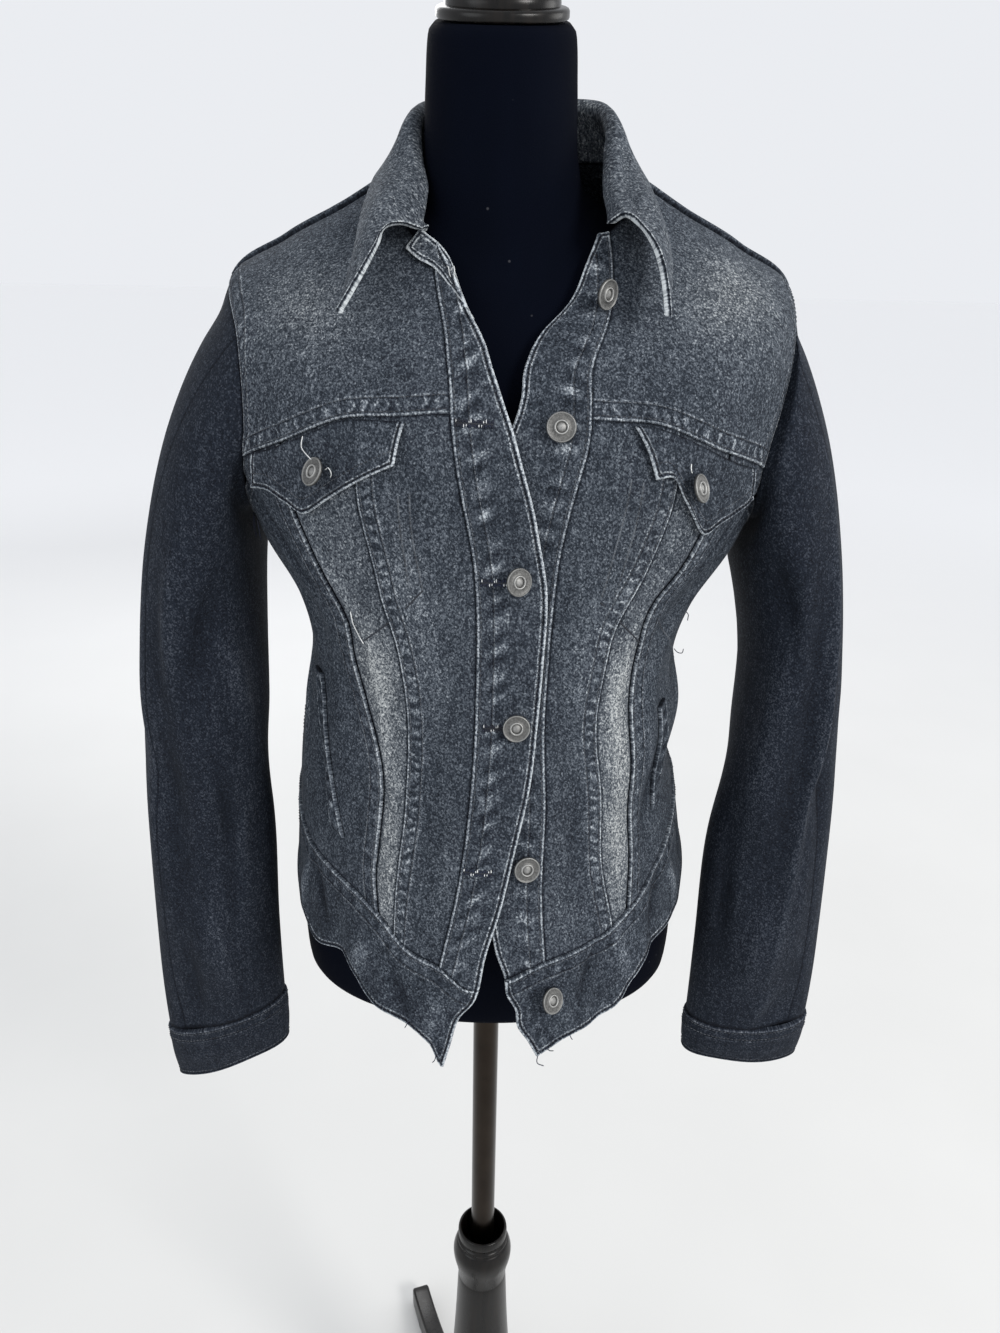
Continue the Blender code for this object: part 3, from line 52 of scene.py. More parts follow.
AXIS_Y = -0.028            # the pole stands here
GARMENT = "dressed_form"   # the body that the jacket and the form ride on
DENIM = 0.0013
FOLDED_DENIM = 0.002
BAND_DENIM = 0.0026
CLOTH_STEP = 0.003         # grid step of the cloth
EDGE_STEPS = (0.0, 0.0005, 0.0011, 0.0019, 0.003, 0.0045)      # grid places close to a seam

BUTTON_RADIUS = 0.0085
POLE_RADIUS = 0.011
POLE_FOOT_Z = 0.3
FORM_FOOT_Z = 0.815
STEM_TOP_Z = 0.478
STEM_FOOT_Z = 0.055
BORE_RADIUS = 0.0119
BORE_FLOOR_Z = 0.17
RECESS_RADIUS = 0.0205
RECESS_FLOOR_Z = 0.44
LEG_REACH = 0.268
LEG_THICKNESS = 0.022
LEG_ROOT_RADIUS = 0.03
LEG_ANGLES = (109.0, 229.0, 349.0)
GAP = 0.0003               # between neighbouring solids

# ---------------------------------------------------------------- surface tables

Ring = namedtuple("Ring", "level z_front z_side z_back half_r half_l front back square")
TORSO = [Ring(*row) for row in [
    (0.0, 1.35, 1.397, 1.408, 0.066, 0.084, 0.063, 0.056, 2.0),
    (1.0, 1.316, 1.379, 1.388, 0.097, 0.115, 0.09, 0.078, 2.05),
    (2.0, 1.291, 1.36, 1.362, 0.134, 0.151, 0.108, 0.096, 2.15),
    (3.0, 1.262, 1.333, 1.328, 0.171, 0.186, 0.119, 0.106, 2.3),
    (4.0, 1.225, 1.258, 1.27, 0.176, 0.186, 0.122, 0.109, 2.4),
    (5.0, 1.176, 1.188, 1.198, 0.16, 0.168, 0.121, 0.105, 2.35),
    (6.0, 1.13, 1.142, 1.148, 0.136, 0.141, 0.126, 0.095, 2.25),
    (7.0, 1.083, 1.102, 1.104, 0.128, 0.13, 0.133, 0.087, 2.15),
    (8.0, 1.03, 1.064, 1.062, 0.134, 0.135, 0.145, 0.089, 2.1),
    (9.0, 0.976, 1.026, 1.022, 0.14, 0.13, 0.156, 0.096, 2.1),
    (10.0, 0.921, 0.988, 0.982, 0.143, 0.139, 0.167, 0.102, 2.1),
    (11.0, 0.857, 0.926, 0.924, 0.147, 0.15, 0.183, 0.107, 2.1),
]]
FORM = [Ring(*row) for row in [
    (0.0, 0.815, 0.815, 0.815, 0.141, 0.141, 0.093, 0.093, 2.1),
    (0.4, 0.824, 0.824, 0.824, 0.147, 0.147, 0.099, 0.098, 2.1),
    (1.0, 0.87, 0.87, 0.87, 0.148, 0.148, 0.106, 0.1, 2.1),
    (2.0, 0.94, 0.945, 0.95, 0.138, 0.138, 0.104, 0.094, 2.1),
    (3.0, 1.01, 1.015, 1.015, 0.122, 0.122, 0.098, 0.082, 2.1),
    (4.0, 1.075, 1.08, 1.08, 0.113, 0.113, 0.096, 0.076, 2.1),
    (5.0, 1.13, 1.135, 1.135, 0.121, 0.121, 0.104, 0.08, 2.15),
    (6.0, 1.185, 1.19, 1.195, 0.137, 0.137, 0.111, 0.09, 2.25),
    (7.0, 1.225, 1.245, 1.255, 0.154, 0.154, 0.11, 0.096, 2.4),
    (8.0, 1.256, 1.3, 1.3, 0.163, 0.163, 0.106, 0.095, 2.4),
    (9.0, 1.277, 1.332, 1.327, 0.156, 0.156, 0.101, 0.09, 2.3),
    (10.0, 1.298, 1.352, 1.35, 0.133, 0.133, 0.091, 0.081, 2.15),
    (11.0, 1.325, 1.368, 1.376, 0.09, 0.09, 0.071, 0.064, 2.05),
    (12.0, 1.355, 1.384, 1.396, 0.057, 0.057, 0.056, 0.049, 2.0),
    (13.0, 1.392, 1.408, 1.424, 0.0475, 0.0475, 0.054, 0.042, 2.0),
    (14.0, 1.432, 1.444, 1.456, 0.0455, 0.0455, 0.053, 0.037, 2.0),
    (15.0, 1.463, 1.473, 1.483, 0.0435, 0.0435, 0.053, 0.032, 2.0),
    (15.3, 1.468, 1.478, 1.488, 0.04, 0.04, 0.05, 0.029, 2.0),
]]
LAST_LEVEL = TORSO[-1].level

# Seams as (level, turn).
PLACKET_SEAM = {
    "r": [
        (0.25, -0.165), (1.1, -0.094), (1.9, -0.059), (2.7, -0.038), (3.9, -0.022), (5.0, -0.012),
        (6.6, -0.016), (7.8, -0.023), (8.9, -0.037), (9.9, -0.06), (11.0, -0.09),
    ],
    "l": [
        (0.1, 0.268), (1.1, 0.184), (1.9, 0.116), (2.6, 0.088), (3.4, 0.072), (4.2, 0.059), (5.0, 0.057),
        (6.3, 0.072), (7.8, 0.081), (9.9, 0.086), (11.0, 0.096),
    ],
}
FRONT_EDGE = {
    "r": [
        (0.04, -0.175), (0.3, -0.113), (0.7, -0.064), (1.2, -0.023), (1.8, -0.004), (2.8, 0.01),
        (3.7, 0.02), (4.5, 0.034), (5.1, 0.048), (5.9, 0.06), (6.8, 0.065), (7.5, 0.06), (8.3, 0.042),
        (9.1, 0.022), (9.7, 0.002), (10.12, -0.006), (10.28, -0.013), (10.47, -0.032), (10.76, -0.043),
        (11.0, -0.052),
    ],
    "l": [
        (0.0, 0.245), (0.3, 0.186), (0.7, 0.132), (1.1, 0.068), (1.7, 0.035), (2.4, 0.022), (3.3, 0.004),
        (4.2, -0.008), (5.1, -0.012), (6.0, -0.012), (7.0, -0.009), (8.0, -0.006), (9.0, 0.0), (9.7, 0.013),
        (10.02, 0.026), (10.2, 0.029), (10.37, 0.041), (10.55, 0.044), (10.72, 0.058), (11.0, 0.076),
    ],
}
INNER_SEAM = {
    "r": [
        (2.9, -0.122), (4.0, -0.126), (5.0, -0.124), (5.5, -0.127), (6.2, -0.124), (8.0, -0.121),
        (9.2, -0.131), (10.0, -0.133),
    ],
    "l": [
        (3.2, 0.168), (4.2, 0.173), (5.0, 0.167), (5.7, 0.159), (6.4, 0.165), (7.5, 0.168), (8.8, 0.187),
        (10.0, 0.203),
    ],
}
OUTER_SEAM = {
    "r": [
        (3.6, -0.236), (4.4, -0.23), (5.1, -0.218), (5.8, -0.21), (6.4, -0.219), (7.0, -0.203),
        (7.8, -0.165), (8.6, -0.164), (9.2, -0.168), (10.0, -0.157),
    ],
    "l": [
        (3.8, 0.252), (4.6, 0.24), (5.0, 0.231), (5.5, 0.21), (6.2, 0.226), (7.0, 0.238), (8.3, 0.242),
        (9.2, 0.258), (10.0, 0.237),
    ],
}
BACK_SEAM = [(3.9, 0.76), (5.5, 0.79), (7.5, 0.83), (10.0, 0.85)]
ARMHOLE_FRONT = {
    "r": [
        (2.92, 0.5), (2.9, 0.425), (3.0, 0.356), (3.27, 0.32), (3.62, 0.308), (4.0, 0.318), (4.3, 0.346),
        (4.6, 0.388), (4.83, 0.437), (4.95, 0.5),
    ],
    "l": [
        (2.92, 0.5), (2.98, 0.462), (3.18, 0.432), (3.46, 0.398), (3.78, 0.366), (4.08, 0.348),
        (4.34, 0.358), (4.6, 0.388), (4.83, 0.437), (4.95, 0.5),
    ],
}
ARMHOLE_BACK = [
    (2.92, 0.5), (2.95, 0.57), (3.12, 0.632), (3.42, 0.672), (3.78, 0.684), (4.12, 0.672), (4.42, 0.645),
    (4.7, 0.603), (4.88, 0.555), (4.95, 0.5),
]
YOKE_FRONT_SHARE = 0.6
YOKE_BACK_SHARE = 0.45
BACK_YOKE_LEVEL = 3.95
UNDERARM_LEVEL = 4.95
SHOULDER_TIP_LEVEL = 2.92
SIDE_TURN = 0.5
WAIST_START = 10.0         # near the waistband's seam

# Lines round the front as (turn, level).
YOKE_LINE = [(0.0, 2.66), (0.05, 2.76), (0.09, 2.92), (0.14, 3.14), (0.19, 3.5), (0.235, 3.76)]
WAIST_LINE = [
    (-0.5, 10.0), (-0.34, 9.88), (-0.28, 9.72), (-0.21, 9.6), (-0.16, 9.66), (-0.11, 9.88), (-0.06, 9.96),
    (-0.02, 10.14), (0.032, 10.04), (0.086, 9.93), (0.194, 10.0), (0.333, 9.98), (0.5, 10.0),
]
HEM_LINE = [
    (-0.5, 10.96), (-0.31, 10.88), (-0.25, 10.63), (-0.209, 10.54), (-0.18, 10.66), (-0.139, 10.67),
    (-0.095, 10.72), (-0.072, 10.8), (-0.056, 10.99), (0.0, 11.0), (0.076, 10.9), (0.114, 10.83),
    (0.156, 10.86), (0.203, 10.88), (0.23, 10.75), (0.271, 10.67), (0.345, 10.86), (0.5, 10.96),
]

Fold = namedtuple("Fold", "turn level slant across along height")
# The solids' folds, then the finer creases of the cloth.
FOLDS = [Fold(*row) for row in [
    (-0.33, 5.9, 0.03, 0.04, 0.9, -0.0045), (-0.27, 7.4, 0.02, 0.03, 0.8, 0.003),
    (0.3, 5.7, -0.035, 0.04, 0.8, -0.004), (0.29, 7.3, -0.015, 0.03, 0.9, 0.003),
    (-0.24, 10.7, 0.01, 0.022, 0.6, -0.005), (-0.15, 10.8, -0.02, 0.02, 0.6, 0.004),
    (0.17, 10.7, 0.015, 0.022, 0.6, -0.004), (0.25, 10.8, -0.01, 0.022, 0.6, 0.004),
    (0.64, 6.6, 0.03, 0.04, 1.0, -0.004), (-0.64, 6.9, -0.03, 0.04, 1.0, -0.004),
    (0.9, 7.2, 0.01, 0.05, 1.2, -0.003), (-0.87, 8.9, 0.02, 0.04, 0.9, 0.0035),
    (-0.56, 10.6, 0.0, 0.03, 0.7, 0.004), (0.57, 10.6, 0.0, 0.03, 0.7, 0.004),
]]
CREASES = [Fold(*row) for row in [
    (-0.29, 4.9, 0.06, 0.012, 0.5, -0.0022), (-0.345, 4.6, 0.05, 0.014, 0.4, -0.0025),
    (-0.2, 5.2, 0.03, 0.01, 0.6, 0.0014), (-0.17, 6.6, 0.006, 0.014, 1.0, 0.0017),
    (-0.3, 8.3, 0.03, 0.016, 0.7, -0.0022), (-0.08, 5.6, 0.01, 0.02, 1.1, 0.0014),
    (-0.075, 8.2, -0.006, 0.018, 1.0, -0.0013), (0.12, 6.4, 0.01, 0.016, 1.1, 0.0014),
    (0.13, 8.4, 0.012, 0.016, 0.9, -0.0014), (0.3, 4.9, -0.05, 0.012, 0.5, -0.0022),
    (0.36, 4.7, -0.06, 0.013, 0.4, -0.0022), (0.2, 6.9, 0.006, 0.014, 1.0, 0.0017),
    (0.31, 8.6, -0.02, 0.018, 0.7, -0.0022), (-0.42, 7.8, 0.04, 0.018, 0.8, 0.0022),
    (0.43, 8.0, -0.04, 0.018, 0.8, 0.0022), (0.7, 5.4, 0.04, 0.022, 0.9, -0.0028),
    (-0.7, 5.2, -0.04, 0.022, 0.9, -0.0028), (0.96, 5.6, 0.01, 0.026, 1.2, 0.0025),
    (-0.8, 7.6, 0.02, 0.022, 1.0, -0.0022), (0.8, 8.8, -0.02, 0.02, 0.8, 0.0022),
    (0.56, 8.6, 0.03, 0.02, 0.7, -0.0022), (-0.58, 8.9, -0.03, 0.02, 0.7, -0.0022),
]]
# Crumples round the waistband.
BAND_CREASES = [Fold(*row) for row in [
    (-0.42, 10.4, 0.05, 0.014, 0.3, -0.0028), (-0.345, 10.5, -0.04, 0.013, 0.3, 0.0032),
    (-0.29, 10.2, 0.06, 0.012, 0.28, -0.0028), (-0.19, 10.3, -0.05, 0.012, 0.26, 0.0028),
    (-0.12, 10.4, 0.05, 0.011, 0.26, -0.0024), (-0.07, 10.5, -0.03, 0.01, 0.26, 0.0021),
    (0.11, 10.5, 0.03, 0.01, 0.26, 0.0018), (0.15, 10.3, -0.05, 0.011, 0.28, -0.0024),
    (0.215, 10.4, 0.05, 0.012, 0.28, 0.0028), (0.295, 10.3, -0.05, 0.013, 0.28, -0.0028),
    (0.36, 10.5, 0.04, 0.013, 0.3, 0.0032), (0.44, 10.4, -0.05, 0.014, 0.3, -0.0028),
    (0.62, 10.5, 0.03, 0.016, 0.3, 0.0024), (0.72, 10.3, -0.03, 0.016, 0.3, -0.0024),
    (0.84, 10.5, 0.03, 0.018, 0.3, 0.0024), (-0.68, 10.4, 0.03, 0.016, 0.3, -0.0024),
    (-0.78, 10.5, -0.03, 0.016, 0.3, 0.0024), (-0.93, 10.4, 0.02, 0.018, 0.3, -0.0021),
]]

Tube = namedtuple("Tube", "outer_x outer_z inner_x inner_z forward half_depth")
SLEEVE = [Tube(*row) for row in [
    (0.196, 1.312, 0.172, 1.184, 0.0, 0.08), (0.209, 1.282, 0.167, 1.169, 0.0, 0.08),
    (0.223, 1.24, 0.1655, 1.156, 0.001, 0.077), (0.234, 1.192, 0.165, 1.14, 0.003, 0.072),
    (0.243, 1.142, 0.165, 1.112, 0.006, 0.066), (0.2495, 1.09, 0.1645, 1.075, 0.011, 0.06),
    (0.2555, 1.035, 0.164, 1.028, 0.017, 0.054), (0.2575, 0.985, 0.163, 0.984, 0.022, 0.049),
    (0.259, 0.93, 0.164, 0.933, 0.028, 0.042), (0.26, 0.87, 0.165, 0.88, 0.034, 0.036),
    (0.26, 0.813, 0.164, 0.837, 0.04, 0.0305), (0.258, 0.768, 0.1625, 0.802, 0.045, 0.0255),
]]
CUFF = [Tube(*row) for row in [
    (0.2595, 0.7675, 0.161, 0.8015, 0.045, 0.026), (0.259, 0.74, 0.16, 0.777, 0.045, 0.024),
    (0.256, 0.714, 0.1615, 0.756, 0.045, 0.018),
]]
CUFF_LIFT = {"r": (0.0, 0.0), "l": (0.026, -0.012)}
CUFF_SHORTENING = {"r": 0.0, "l": 0.01}
SLEEVE_RINGS = 19
SLEEVE_LEAN = {"r": 0.0, "l": 0.016}
SLEEVE_LEAN_ROW = 5.0
SLEEVE_LEAN_ROWS = 2.2
UNDERARM_REACH = 0.0045
SLEEVE_HEAD = 4.0          # rings over which the sleeve leaves the armhole's shape
HEAD_FOLLOW = (0.7, 0.55, 0.2)     # how far it follows the armhole in x, y and z
TURN_OUT = 0.3

# Sleeve folds: here turn is the angle round the sleeve and level the row down it.
SLEEVE_FOLDS = [Fold(*row) for row in [
    (0.9, 6.6, 0.3, 0.45, 0.8, -0.004), (2.2, 7.6, -0.3, 0.5, 0.7, -0.0035),
    (1.5, 9.2, 0.25, 0.4, 0.8, 0.003), (3.6, 6.9, 0.2, 0.5, 0.9, -0.004),
    (5.0, 8.0, -0.25, 0.45, 0.9, -0.004), (4.4, 5.4, 0.25, 0.4, 0.8, 0.003),
    (5.6, 10.1, 0.2, 0.4, 0.8, 0.0025), (1.1, 10.6, -0.2, 0.4, 0.7, -0.003),
]]
SLEEVE_FOLD_SCALE = 1.7
SLEEVE_BACK_CREASES = [Fold(*row) for row in [
    (3.7, 4.4, -0.2, 0.18, 0.8, -0.0028), (4.3, 6.4, 0.16, 0.2, 1.0, 0.0026),
    (4.9, 5.6, -0.12, 0.18, 1.1, -0.0026), (5.5, 7.2, 0.12, 0.16, 1.1, 0.0022),
    (4.6, 9.4, -0.12, 0.18, 0.9, -0.0024), (5.8, 4.4, 0.06, 0.14, 1.3, -0.002),
]]
SLEEVE_CREASES = {
    "r": SLEEVE_BACK_CREASES + [Fold(*row) for row in [
        (1.35, 4.2, -0.05, 0.15, 1.0, 0.003), (1.92, 4.2, -0.22, 0.2, 0.9, -0.0038),
        (2.4, 5.0, 0.15, 0.18, 0.8, 0.0026), (2.08, 7.2, 0.05, 0.1, 0.6, -0.0028),
        (2.3, 7.7, -0.2, 0.14, 0.5, 0.0022), (2.12, 8.3, -0.1, 0.12, 0.5, -0.0024),
        (1.22, 6.6, 0.02, 0.22, 2.2, -0.0022), (0.72, 6.0, 0.02, 0.22, 2.5, 0.0022),
        (1.8, 9.4, 0.05, 0.16, 1.0, 0.0018), (1.25, 9.9, -0.05, 0.14, 0.8, -0.0018),
    ]],
    "l": SLEEVE_BACK_CREASES + [Fold(*row) for row in [
        (1.19, 5.8, 0.08, 0.1, 3.3, 0.003), (1.55, 5.8, 0.07, 0.22, 2.6, -0.003),
        (0.8, 6.4, 0.04, 0.16, 2.2, -0.0018), (2.05, 3.2, -0.1, 0.2, 0.8, -0.0034),
        (2.2, 5.8, 0.05, 0.24, 1.4, 0.0026), (2.45, 8.4, -0.1, 0.18, 0.8, -0.0022),
        (1.75, 9.0, 0.1, 0.18, 0.9, 0.002), (1.45, 10.3, 0.3, 0.14, 0.4, 0.0016),
    ]],
}
FRONT_STEPS, BACK_STEPS = 11, 9     # steps down the armhole's front and back
ARM_FRONT_STOPS = ((0.0, 7.0, FRONT_STEPS), (0.0, YOKE_FRONT_SHARE, 1.0))
ARM_BACK_STOPS = ((0.0, 4.0, BACK_STEPS), (0.0, YOKE_BACK_SHARE, 1.0))
ARM_FINE = 6               # cloth columns for each step along the armhole
ROW_FINE = 6               # cloth rows for each sleeve ring
SLEEVE_SEAM_FRONT = 3
SLEEVE_SEAM_BACK = 5

# A cut through the collar: its fold, its edge, how far the fall bows out and sways forwards in its
# middle, and the half width and drop of the roll at the fold.
CollarCut = namedtuple("CollarCut", "turn fold_x fold_y fold_z edge_x edge_y edge_z bow sway roll drop",
                       defaults=(0.0, 0.0042, 0.0042))
COLLAR_BACK = CollarCut(1.0, 0.0, 0.055, 1.4455, 0.0, 0.0905, 1.39, 0.004)
COLLAR = {
    "r": [
        CollarCut(-0.225, -0.055, -0.068, 1.368, -0.0855, -0.108, 1.3224, 0.004, 0.0065, 0.012, 0.002),
        CollarCut(-0.3, -0.05, -0.042, 1.3905, -0.0808, -0.074, 1.351, 0.0065, 0.003, 0.008, 0.003),
        CollarCut(-0.38, -0.052, -0.021, 1.408, -0.079, -0.039, 1.3765, 0.002, 0.0, 0.005, 0.004),
        CollarCut(-0.5, -0.0535, 0.002, 1.429, -0.0745, 0.005, 1.3975, -0.0015),
        CollarCut(-0.7, -0.046, 0.037, 1.44, -0.067, 0.058, 1.399, 0.001),
        CollarCut(-0.85, -0.026, 0.051, 1.444, -0.037, 0.082, 1.3915, 0.003),
        COLLAR_BACK._replace(turn=-1.0),
    ],
    "l": [
        CollarCut(0.29, 0.0715, -0.068, 1.3745, 0.0932, -0.108, 1.3243, 0.008, 0.0015, 0.0085, 0.0035),
        CollarCut(0.36, 0.068, -0.04, 1.392, 0.0977, -0.072, 1.351, 0.008, 0.0, 0.0062, 0.0038),
        CollarCut(0.43, 0.068, -0.015, 1.411, 0.0935, -0.038, 1.378, 0.002, 0.0, 0.0048, 0.0042),
        CollarCut(0.5, 0.069, 0.002, 1.427, 0.087, 0.0, 1.3985, -0.001),
        CollarCut(0.66, 0.062, 0.03, 1.44, 0.083, 0.049, 1.401, 0.0),
        CollarCut(0.84, 0.035, 0.05, 1.444, 0.048, 0.079, 1.392, 0.003),
        COLLAR_BACK,
    ],
}
COLLAR_SEAM_RISE = 0.001
COLLAR_FADE = 0.45
COLLAR_WIDTH = 0.115
HALF_COLLAR = 0.21
FINE_STEP = 0.0026         # grid step of the collar and the cuffs

FlapCut = namedtuple("FlapCut", "top_turn top_level low_turn low_level")
FLAPS = {
    "r": [FlapCut(*row) for row in [
        (-0.078, 2.98, -0.081, 3.62), (-0.108, 3.05, -0.113, 3.86), (-0.142, 3.18, -0.152, 4.14),
        (-0.178, 3.46, -0.2, 4.42), (-0.21, 3.66, -0.228, 4.36), (-0.246, 3.84, -0.262, 4.3),
        (-0.288, 3.99, -0.304, 4.36),
    ]],
    "l": [FlapCut(*row) for row in [
        (0.119, 3.09, 0.141, 3.85), (0.14, 3.19, 0.163, 3.88), (0.165, 3.37, 0.184, 4.18),
        (0.198, 3.6, 0.228, 4.6), (0.232, 3.8, 0.256, 4.54), (0.266, 3.95, 0.29, 4.48),
        (0.305, 4.08, 0.326, 4.42),
    ]],
}
FLAP_LIFT = 0.003
WELTS = {"r": ((7.08, -0.35), (9.0, -0.246)), "l": ((7.4, 0.326), (9.15, 0.341))}
FLAP_DROOP = 0.0012        # how much further a flap's lower edge stands out
WELT_TURN = 0.015
WELT_DENIM = 0.0012
WELT_LIFT = 0.0017
BAND_LIFT = 0.0012
BAND_STEP, FLAP_STEP, WELT_STEP = 0.0025, 0.0022, 0.0016     # grid steps

# Where each button sits, and how far it hangs aside (to the wearer's left) and nods upwards, in degrees.
ButtonSpot = namedtuple("ButtonSpot", "name level turn lift aside nod")
BUTTONS = [ButtonSpot(*row) for row in [
    ("front_button_1", 0.96, 0.174, 0.0004, 41.0, -46.0), ("front_button_2", 2.95, 0.051, 0.0004, 0.0, 0.0),
    ("front_button_3", 4.98, 0.018, 0.0034, 30.0, 8.0), ("front_button_4", 6.95, 0.034, 0.0034, 0.0, 0.0),
    ("front_button_5", 8.68, 0.056, 0.0004, 6.0, 0.0), ("front_button_6", 10.33, 0.089, 0.0016, 28.0, 9.0),
    ("pocket_button_r", 3.89, -0.167, 0.004, -26.0, 24.0),
    ("pocket_button_l", 4.03, 0.19, 0.004, 33.0, 20.0),
]]
BUTTON_RIM_FOOT = 0.0018
CUFF_BUTTON_LIFT = 0.0012

# Where the denim is worn pale: both wedge panels, the shoulders and the chest, then the back.
FADES = [Fold(turn, level, 0.0, *rest) for turn, level, *rest in [
    (-0.178, 6.45, 0.048, 0.8, 0.62), (-0.16, 7.9, 0.044, 1.2, 0.42), (-0.15, 9.1, 0.036, 0.9, 0.5),
    (0.205, 6.6, 0.036, 0.85, 0.5), (0.222, 8.0, 0.044, 1.15, 0.62), (0.232, 9.2, 0.036, 0.9, 0.42),
    (-0.3, 2.1, 0.11, 0.8, 0.85), (0.35, 2.1, 0.1, 0.85, 1.05), (-0.06, 8.6, 0.04, 1.4, 0.25),
    (0.11, 8.2, 0.03, 1.4, 0.3), (-0.07, 6.0, 0.06, 1.5, 0.2), (0.12, 5.2, 0.05, 1.5, 0.15),
    (-0.085, 4.6, 0.018, 0.9, 0.25), (0.15, 4.6, 0.018, 0.9, 0.25), (0.8, 2.6, 0.12, 1.1, 0.75),
    (-0.8, 2.6, 0.12, 1.1, 0.75), (0.99, 6.6, 0.12, 2.2, 0.6), (0.64, 7.0, 0.06, 1.6, 0.45),
    (-0.64, 7.0, 0.06, 1.6, 0.45),
]]
# How strongly a piece takes the fades, and how much paler or darker it is all over.
PIECE_FADES = {
    "front_wedge": (1.25, 0.42), "front_centre": (0.6, 0.0), "front_side": (0.3, -0.05),
    "placket": (0.5, -0.05), "waistband": (0.5, -0.3), "pocket_flap": (0.5, -0.2),
    "pocket_welt": (0.3, -0.2),
}

# ---------------------------------------------------------------- curves and surfaces


def smooth(table, place):
    """The table's other columns at places in its first one, along a smooth curve through its rows."""
    rows = np.array([tuple(row) for row in table], float)
    keys, values = rows[:, 0], rows[:, 1:]
    place = np.clip(np.asarray(place, float), keys[0], keys[-1])
    at = np.searchsorted(keys[1:-1], place)
    slopes = np.empty_like(values)
    slopes[1:-1] = (values[2:] - values[:-2]) / (keys[2:] - keys[:-2])[:, None]
    slopes[0] = (values[1] - values[0]) / (keys[1] - keys[0])
    slopes[-1] = (values[-1] - values[-2]) / (keys[-1] - keys[-2])
    step = (keys[at + 1] - keys[at])[..., None]
    share = (place - keys[at])[..., None] / step
    square, cube = share ** 2, share ** 3
    return ((2 * cube - 3 * square + 1) * values[at] + (cube - 2 * square + share) * step * slopes[at]
            + (3 * square - 2 * cube) * values[at + 1] + (cube - square) * step * slopes[at + 1])


def by_index(rows):
    return [(index, *row) for index, row in enumerate(rows)]


def unit(vectors):
    return vectors / np.maximum(np.linalg.norm(vectors, axis=-1, keepdims=True), 1e-12)


def ring_points(table, turn, level):
    """Points of rounded oval rings whose height changes from front to back."""
    z_front, z_side, z_back, half_r, half_l, front, back, square = np.moveaxis(smooth(table, level), -1, 0)
    sine, cosine = np.sin(np.pi * turn), np.cos(np.pi * turn)
    across = np.sign(sine) * np.abs(sine) ** (2.0 / square)
    along = np.sign(cosine) * np.abs(cosine) ** (2.0 / square)
    half_width = np.where(sine > 0.0, half_l, half_r)
    depth = np.where(cosine > 0.0, front, back)
    tilt = (z_front - z_back) / 2.0 * cosine
    bend = ((z_front + z_back) / 2.0 - z_side) * cosine * cosine
    return np.stack((half_width * across, -depth * along, z_side + tilt + bend), axis=-1)


def fold_height(folds, turn, level, whole_turn=2.0):
    """The sum of the folds' heights on a surface that closes after a whole turn."""
    total = np.zeros(np.broadcast(turn, level).shape)
    half = whole_turn / 2.0
    for fold in folds:
        away = (turn - fold.turn - fold.slant * (level - fold.level) + half) % whole_turn - half
        total += fold.height * np.exp(-(away / fold.across) ** 2 - ((level - fold.level) / fold.along) ** 2)
    return total


def surface_normals(shape, turn, level, reach=0.002):
    around = shape(turn + reach, level) - shape(turn - reach, level)
    down = shape(turn, np.minimum(level + reach, LAST_LEVEL)) - shape(turn, np.maximum(level - reach, 0.0))
    return unit(np.cross(down, around))


def bare_torso(turn, level):
    return ring_points(TORSO, turn, level)


def torso(turn, level, folds=FOLDS):
    height = fold_height(folds, turn, level)
    return bare_torso(turn, level) + surface_normals(bare_torso, turn, level) * height[..., None]


def torso_with(folds):
    """The torso surface with a given list of folds."""
    return lambda turn, level: torso(turn, level, folds)


def seam_turn(seam, level):
    return smooth(seam, level)[..., 0]


def level_round(line):
    """The level of a line round the torso, at any turn."""
    return lambda turn: smooth(line, (np.asarray(turn, float) + 1.0) % 2.0 - 1.0)[..., 0]


waist_level, hem_level = level_round(WAIST_LINE), level_round(HEM_LINE)


def chain(stops, share):
    """Places (turn, level) at shares of the way along stops given as (level, turn)."""
    places = smooth(by_index(stops), np.asarray(share, float) * (len(stops) - 1))
    return places[..., ::-1]


def side_sign(side):
    return -1.0 if side == "r" else 1.0


def yoke_level(turn, side):
    end_turn, end_level = chain(ARMHOLE_FRONT[side], YOKE_FRONT_SHARE)
    return smooth(YOKE_LINE + [(end_turn, end_level)], np.abs(turn))[..., 0]


def settle(start, follow):
    """Where a level comes to rest when it follows itself."""
    level = np.float64(start)
    for _ in range(20):
        level = follow(level)
    return float(level)


def pairs(turns, levels):
    return np.stack(np.broadcast_arrays(np.asarray(turns, float), np.asarray(levels, float)), axis=-1)


def end_of(border, share):
    return border(np.array([share]))[0]


# ---------------------------------------------------------------- borders: share -> (turn, level)


def seam_border(seam, start, end):
    return lambda share: pairs(seam_turn(seam, start + (end - start) * share), start + (end - start) * share)


def straight_border(start, end):
    start, end = np.array(start, float), np.array(end, float)
    return lambda share: start + (end - start) * np.asarray(share)[..., None]


def level_border(start_turn, end_turn, level_at):
    def border(share):
        turns = start_turn + (end_turn - start_turn) * share
        return pairs(turns, level_at(turns))
    return border


def joined(*stretches):
    """One border from stretches of (border, weight)."""
    weights = np.array([weight for _border, weight in stretches], float)
    ends = np.concatenate(([0.0], np.cumsum(weights) / weights.sum()))

    def border(share):
        share = np.asarray(share, float)
        result = np.zeros(share.shape + (2,))
        for index, (part, _weight) in enumerate(stretches):
            last = index == len(stretches) - 1
            inside = (share >= ends[index]) & ((share < ends[index + 1]) | last)
            if inside.any():
                result[inside] = part((share[inside] - ends[index]) / (ends[index + 1] - ends[index]))
        return result
    return border


def mirrored(border):
    return lambda share: border(share) * np.array([-1.0, 1.0])


